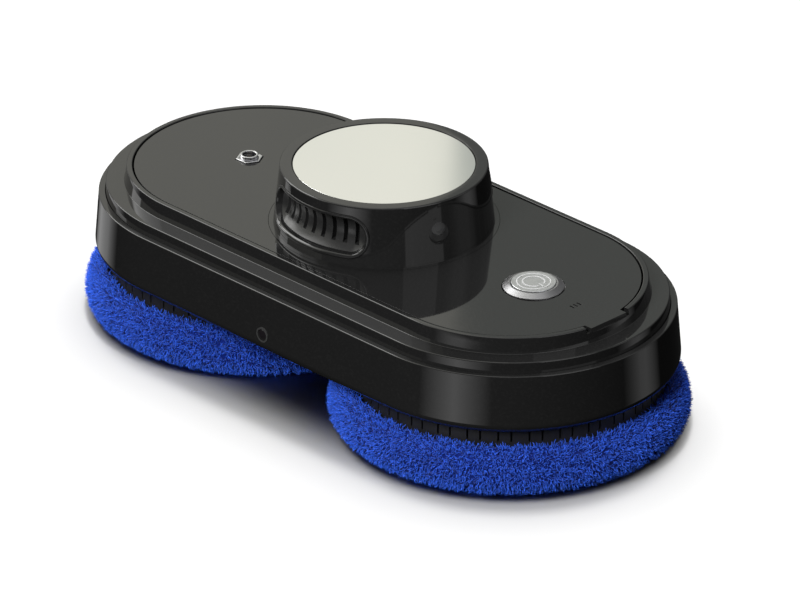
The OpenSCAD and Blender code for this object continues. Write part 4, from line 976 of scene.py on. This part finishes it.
class ROBOT_OT_stage(PieceOperator, bpy.types.Operator):
    """Set the pale floor, the studio lights, the surroundings and the camera"""
    bl_idname = "robot.stage"
    bl_label = "Stage"

    def lamp(self, name, place, power, size):
        """A soft square lamp that shines on the robot."""
        light = bpy.data.lights.new(name, "AREA")
        light.energy, light.size = power, size
        holder = bpy.data.objects.new(name, light)
        holder.location = place
        holder.rotation_euler = (Vector((0, 0, 0.03)) - Vector(place)).to_track_quat("-Z", "Y").to_euler()
        holder.visible_glossy = False
        bpy.context.scene.collection.objects.link(holder)
        return holder

    def surroundings(self, world):
        """White for the eye, a high soft light for matte surfaces, and soft boxes for the gloss."""
        world.use_nodes = True
        r = Recipe(world.node_tree)
        way = r.add("ShaderNodeTexCoord")
        x, y, z = r.parts(way)
        turn = r.add("ShaderNodeMath", {"operation": "ARCTAN2"}, {0: y, 1: x}) * (180 / pi)
        turn = turn + turn.step("LESS_THAN", turn, -110) * 360
        rise = r.add("ShaderNodeMath", {"operation": "ARCSINE"}, {0: z}) * (180 / pi)

        def past(value, line, soft):
            return ((value - line) / soft + 0.5).within()

        sky = r.mix(past(turn, 135.02, 0.12), (0.4, 0.42, 0.39), (0.84, 0.835, 0.755))
        sky = r.mix(past(turn, 122, 8), (0.16, 0.16, 0.16), sky)
        sky = r.mix((r.noise(30, 2, way) - 0.42).most(0) * 0.8, sky, (0.5, 0.53, 0.5))
        boxes = past(rise, 64, 14) * 0.8
        for left, right, low, high, soft, strength in (
                (-23, 18, 8, 50, 1.5, 1.3), (34, 60, 8, 40, 14, 0.6), (182, 199, 8, 24, 1.5, 4),
                (-94, -70, -27, -8, 26, 1.45), (44, 66, -27, -8, 16, 0.5), (158, 190, -27, -8, 14, 0.72),
                (165, 212, 30, 52, 8, 5), (212, 235, 30, 52, 8, 2)):
            sides = past(turn, left, soft) * past(right, turn, soft)
            boxes = boxes + sides * past(rise, low, 1.5) * past(high, rise, 1.5) * strength
        boxes = r.add("ShaderNodeCombineXYZ", None, {0: boxes, 1: boxes, 2: boxes})
        dark = r.mix(past(rise, 6, 8), (0.012, 0.012, 0.012), sky)
        gloss = r.add("ShaderNodeVectorMath", {"operation": "ADD"}, {0: dark, 1: boxes})
        high = r.add("ShaderNodeVectorMath", {"operation": "DOT_PRODUCT"}, {0: way, 1: (-0.21, 0.21, 0.955)},
                     out=1)
        soft = r.add("ShaderNodeVectorMath", {"operation": "SCALE"},
                     {0: (1.0, 0.99, 0.975), "Scale": high.most(0) ** 6 * 1.5})
        path = r.add("ShaderNodeLightPath").socket.node
        seen, shiny = Wire(r, path.outputs["Is Camera Ray"]), Wire(r, path.outputs["Is Glossy Ray"])
        shade = r.mix(shiny, soft, gloss)
        shade = r.mix(seen, shade, (1, 1, 1))
        r.add("ShaderNodeOutputWorld", None, {0: r.add("ShaderNodeBackground", None, {0: shade, 1: 1.0})})

    def floor(self):
        """A wide pale floor."""
        mesh = raw_mesh("floor", [(-6, -6, 0), (6, -6, 0), (6, 6, 0), (-6, 6, 0)], [(0, 1, 2, 3)])
        ground = bpy.data.objects.new("floor", mesh)
        bpy.context.scene.collection.objects.link(ground)
        ground.location.z = -0.00002
        mesh.materials.append(finish("floor_white", lambda r: {
            "Base Color": r.mix(r.noise(3, 2), (0.84, 0.84, 0.84), (0.82, 0.82, 0.82))},
            roughness=0.9, specular_ior_level=0.0))
        ground.visible_glossy = ground.visible_diffuse = False
        return ground

    def execute(self, context):
        scene = context.scene
        scene.world = scene.world or bpy.data.worlds.new("studio")
        self.surroundings(scene.world)
        unlit = bpy.data.collections.new("unlit_by_the_front_lamp")
        unlit.objects.link(self.floor())
        self.lamp("top_lamp", (-0.95, 0.95, 5.0), 105, 0.8)
        self.lamp("wide_lamp", (-0.75, 0.75, 5.0), 230, 6.0)
        front = self.lamp("front_lamp", (0.5, -1.4, 1.15), 76, 0.8)
        front.light_linking.receiver_collection = unlit
        unlit.collection_objects[0].light_linking.link_state = "EXCLUDE"
        camera = bpy.data.cameras.new("camera")
        camera.sensor_width, camera.lens = 36, 357.1
        camera.clip_start, camera.clip_end = 0.1, 60
        eye = bpy.data.objects.new("camera", camera)
        scene.collection.objects.link(eye)
        aim, back = Vector((0.0095, 0, 0.03087)), Vector((0.6359, -0.6253, 0.4523))
        eye.location = aim + back * 3.3375
        eye.rotation_mode = "QUATERNION"
        eye.rotation_quaternion = (-back).to_track_quat("-Z", "Y")
        scene.camera = eye
        scene.view_settings.view_transform = "Standard"
        scene.view_settings.look = "None"
        return {"FINISHED"}


PIECES = (ROBOT_OT_finishes, ROBOT_OT_skirt, ROBOT_OT_top_frame, ROBOT_OT_deck, ROBOT_OT_handle,
          ROBOT_OT_finger_grips, ROBOT_OT_mirror_disc, ROBOT_OT_button, ROBOT_OT_inlet, ROBOT_OT_pads,
          ROBOT_OT_stage)


class ROBOT_PT_panel(bpy.types.Panel):
    """Lists the robot's pieces, sizes and colours"""
    bl_idname = "ROBOT_PT_panel"
    bl_label = "Window cleaning robot"
    bl_space_type = "VIEW_3D"
    bl_region_type = "UI"
    bl_category = "Robot"

    def draw(self, context):
        for piece in PIECES:
            self.layout.operator(piece.bl_idname)
        for name in SETTINGS:
            group = getattr(context.scene, name)
            box = self.layout.box()
            box.label(text=name.replace("robot_", "").capitalize())
            for prop in type(group).__annotations__:
                box.prop(group, prop)


def register():
    """Registers the settings, the operators and the panel."""
    for name, group in SETTINGS.items():
        bpy.utils.register_class(group)
        setattr(bpy.types.Scene, name, bpy.props.PointerProperty(type=group))
    for cls in PIECES + (ROBOT_PT_panel,):
        bpy.utils.register_class(cls)


def unregister():
    """Takes the panel, the operators and the settings out again."""
    for cls in (ROBOT_PT_panel,) + PIECES[::-1]:
        bpy.utils.unregister_class(cls)
    for name, group in SETTINGS.items():
        delattr(bpy.types.Scene, name)
        bpy.utils.unregister_class(group)


def main():
    register()
    for piece in PIECES:
        group, name = piece.bl_idname.split(".")
        getattr(getattr(bpy.ops, group), name)()


if __name__ == "__main__":
    main()
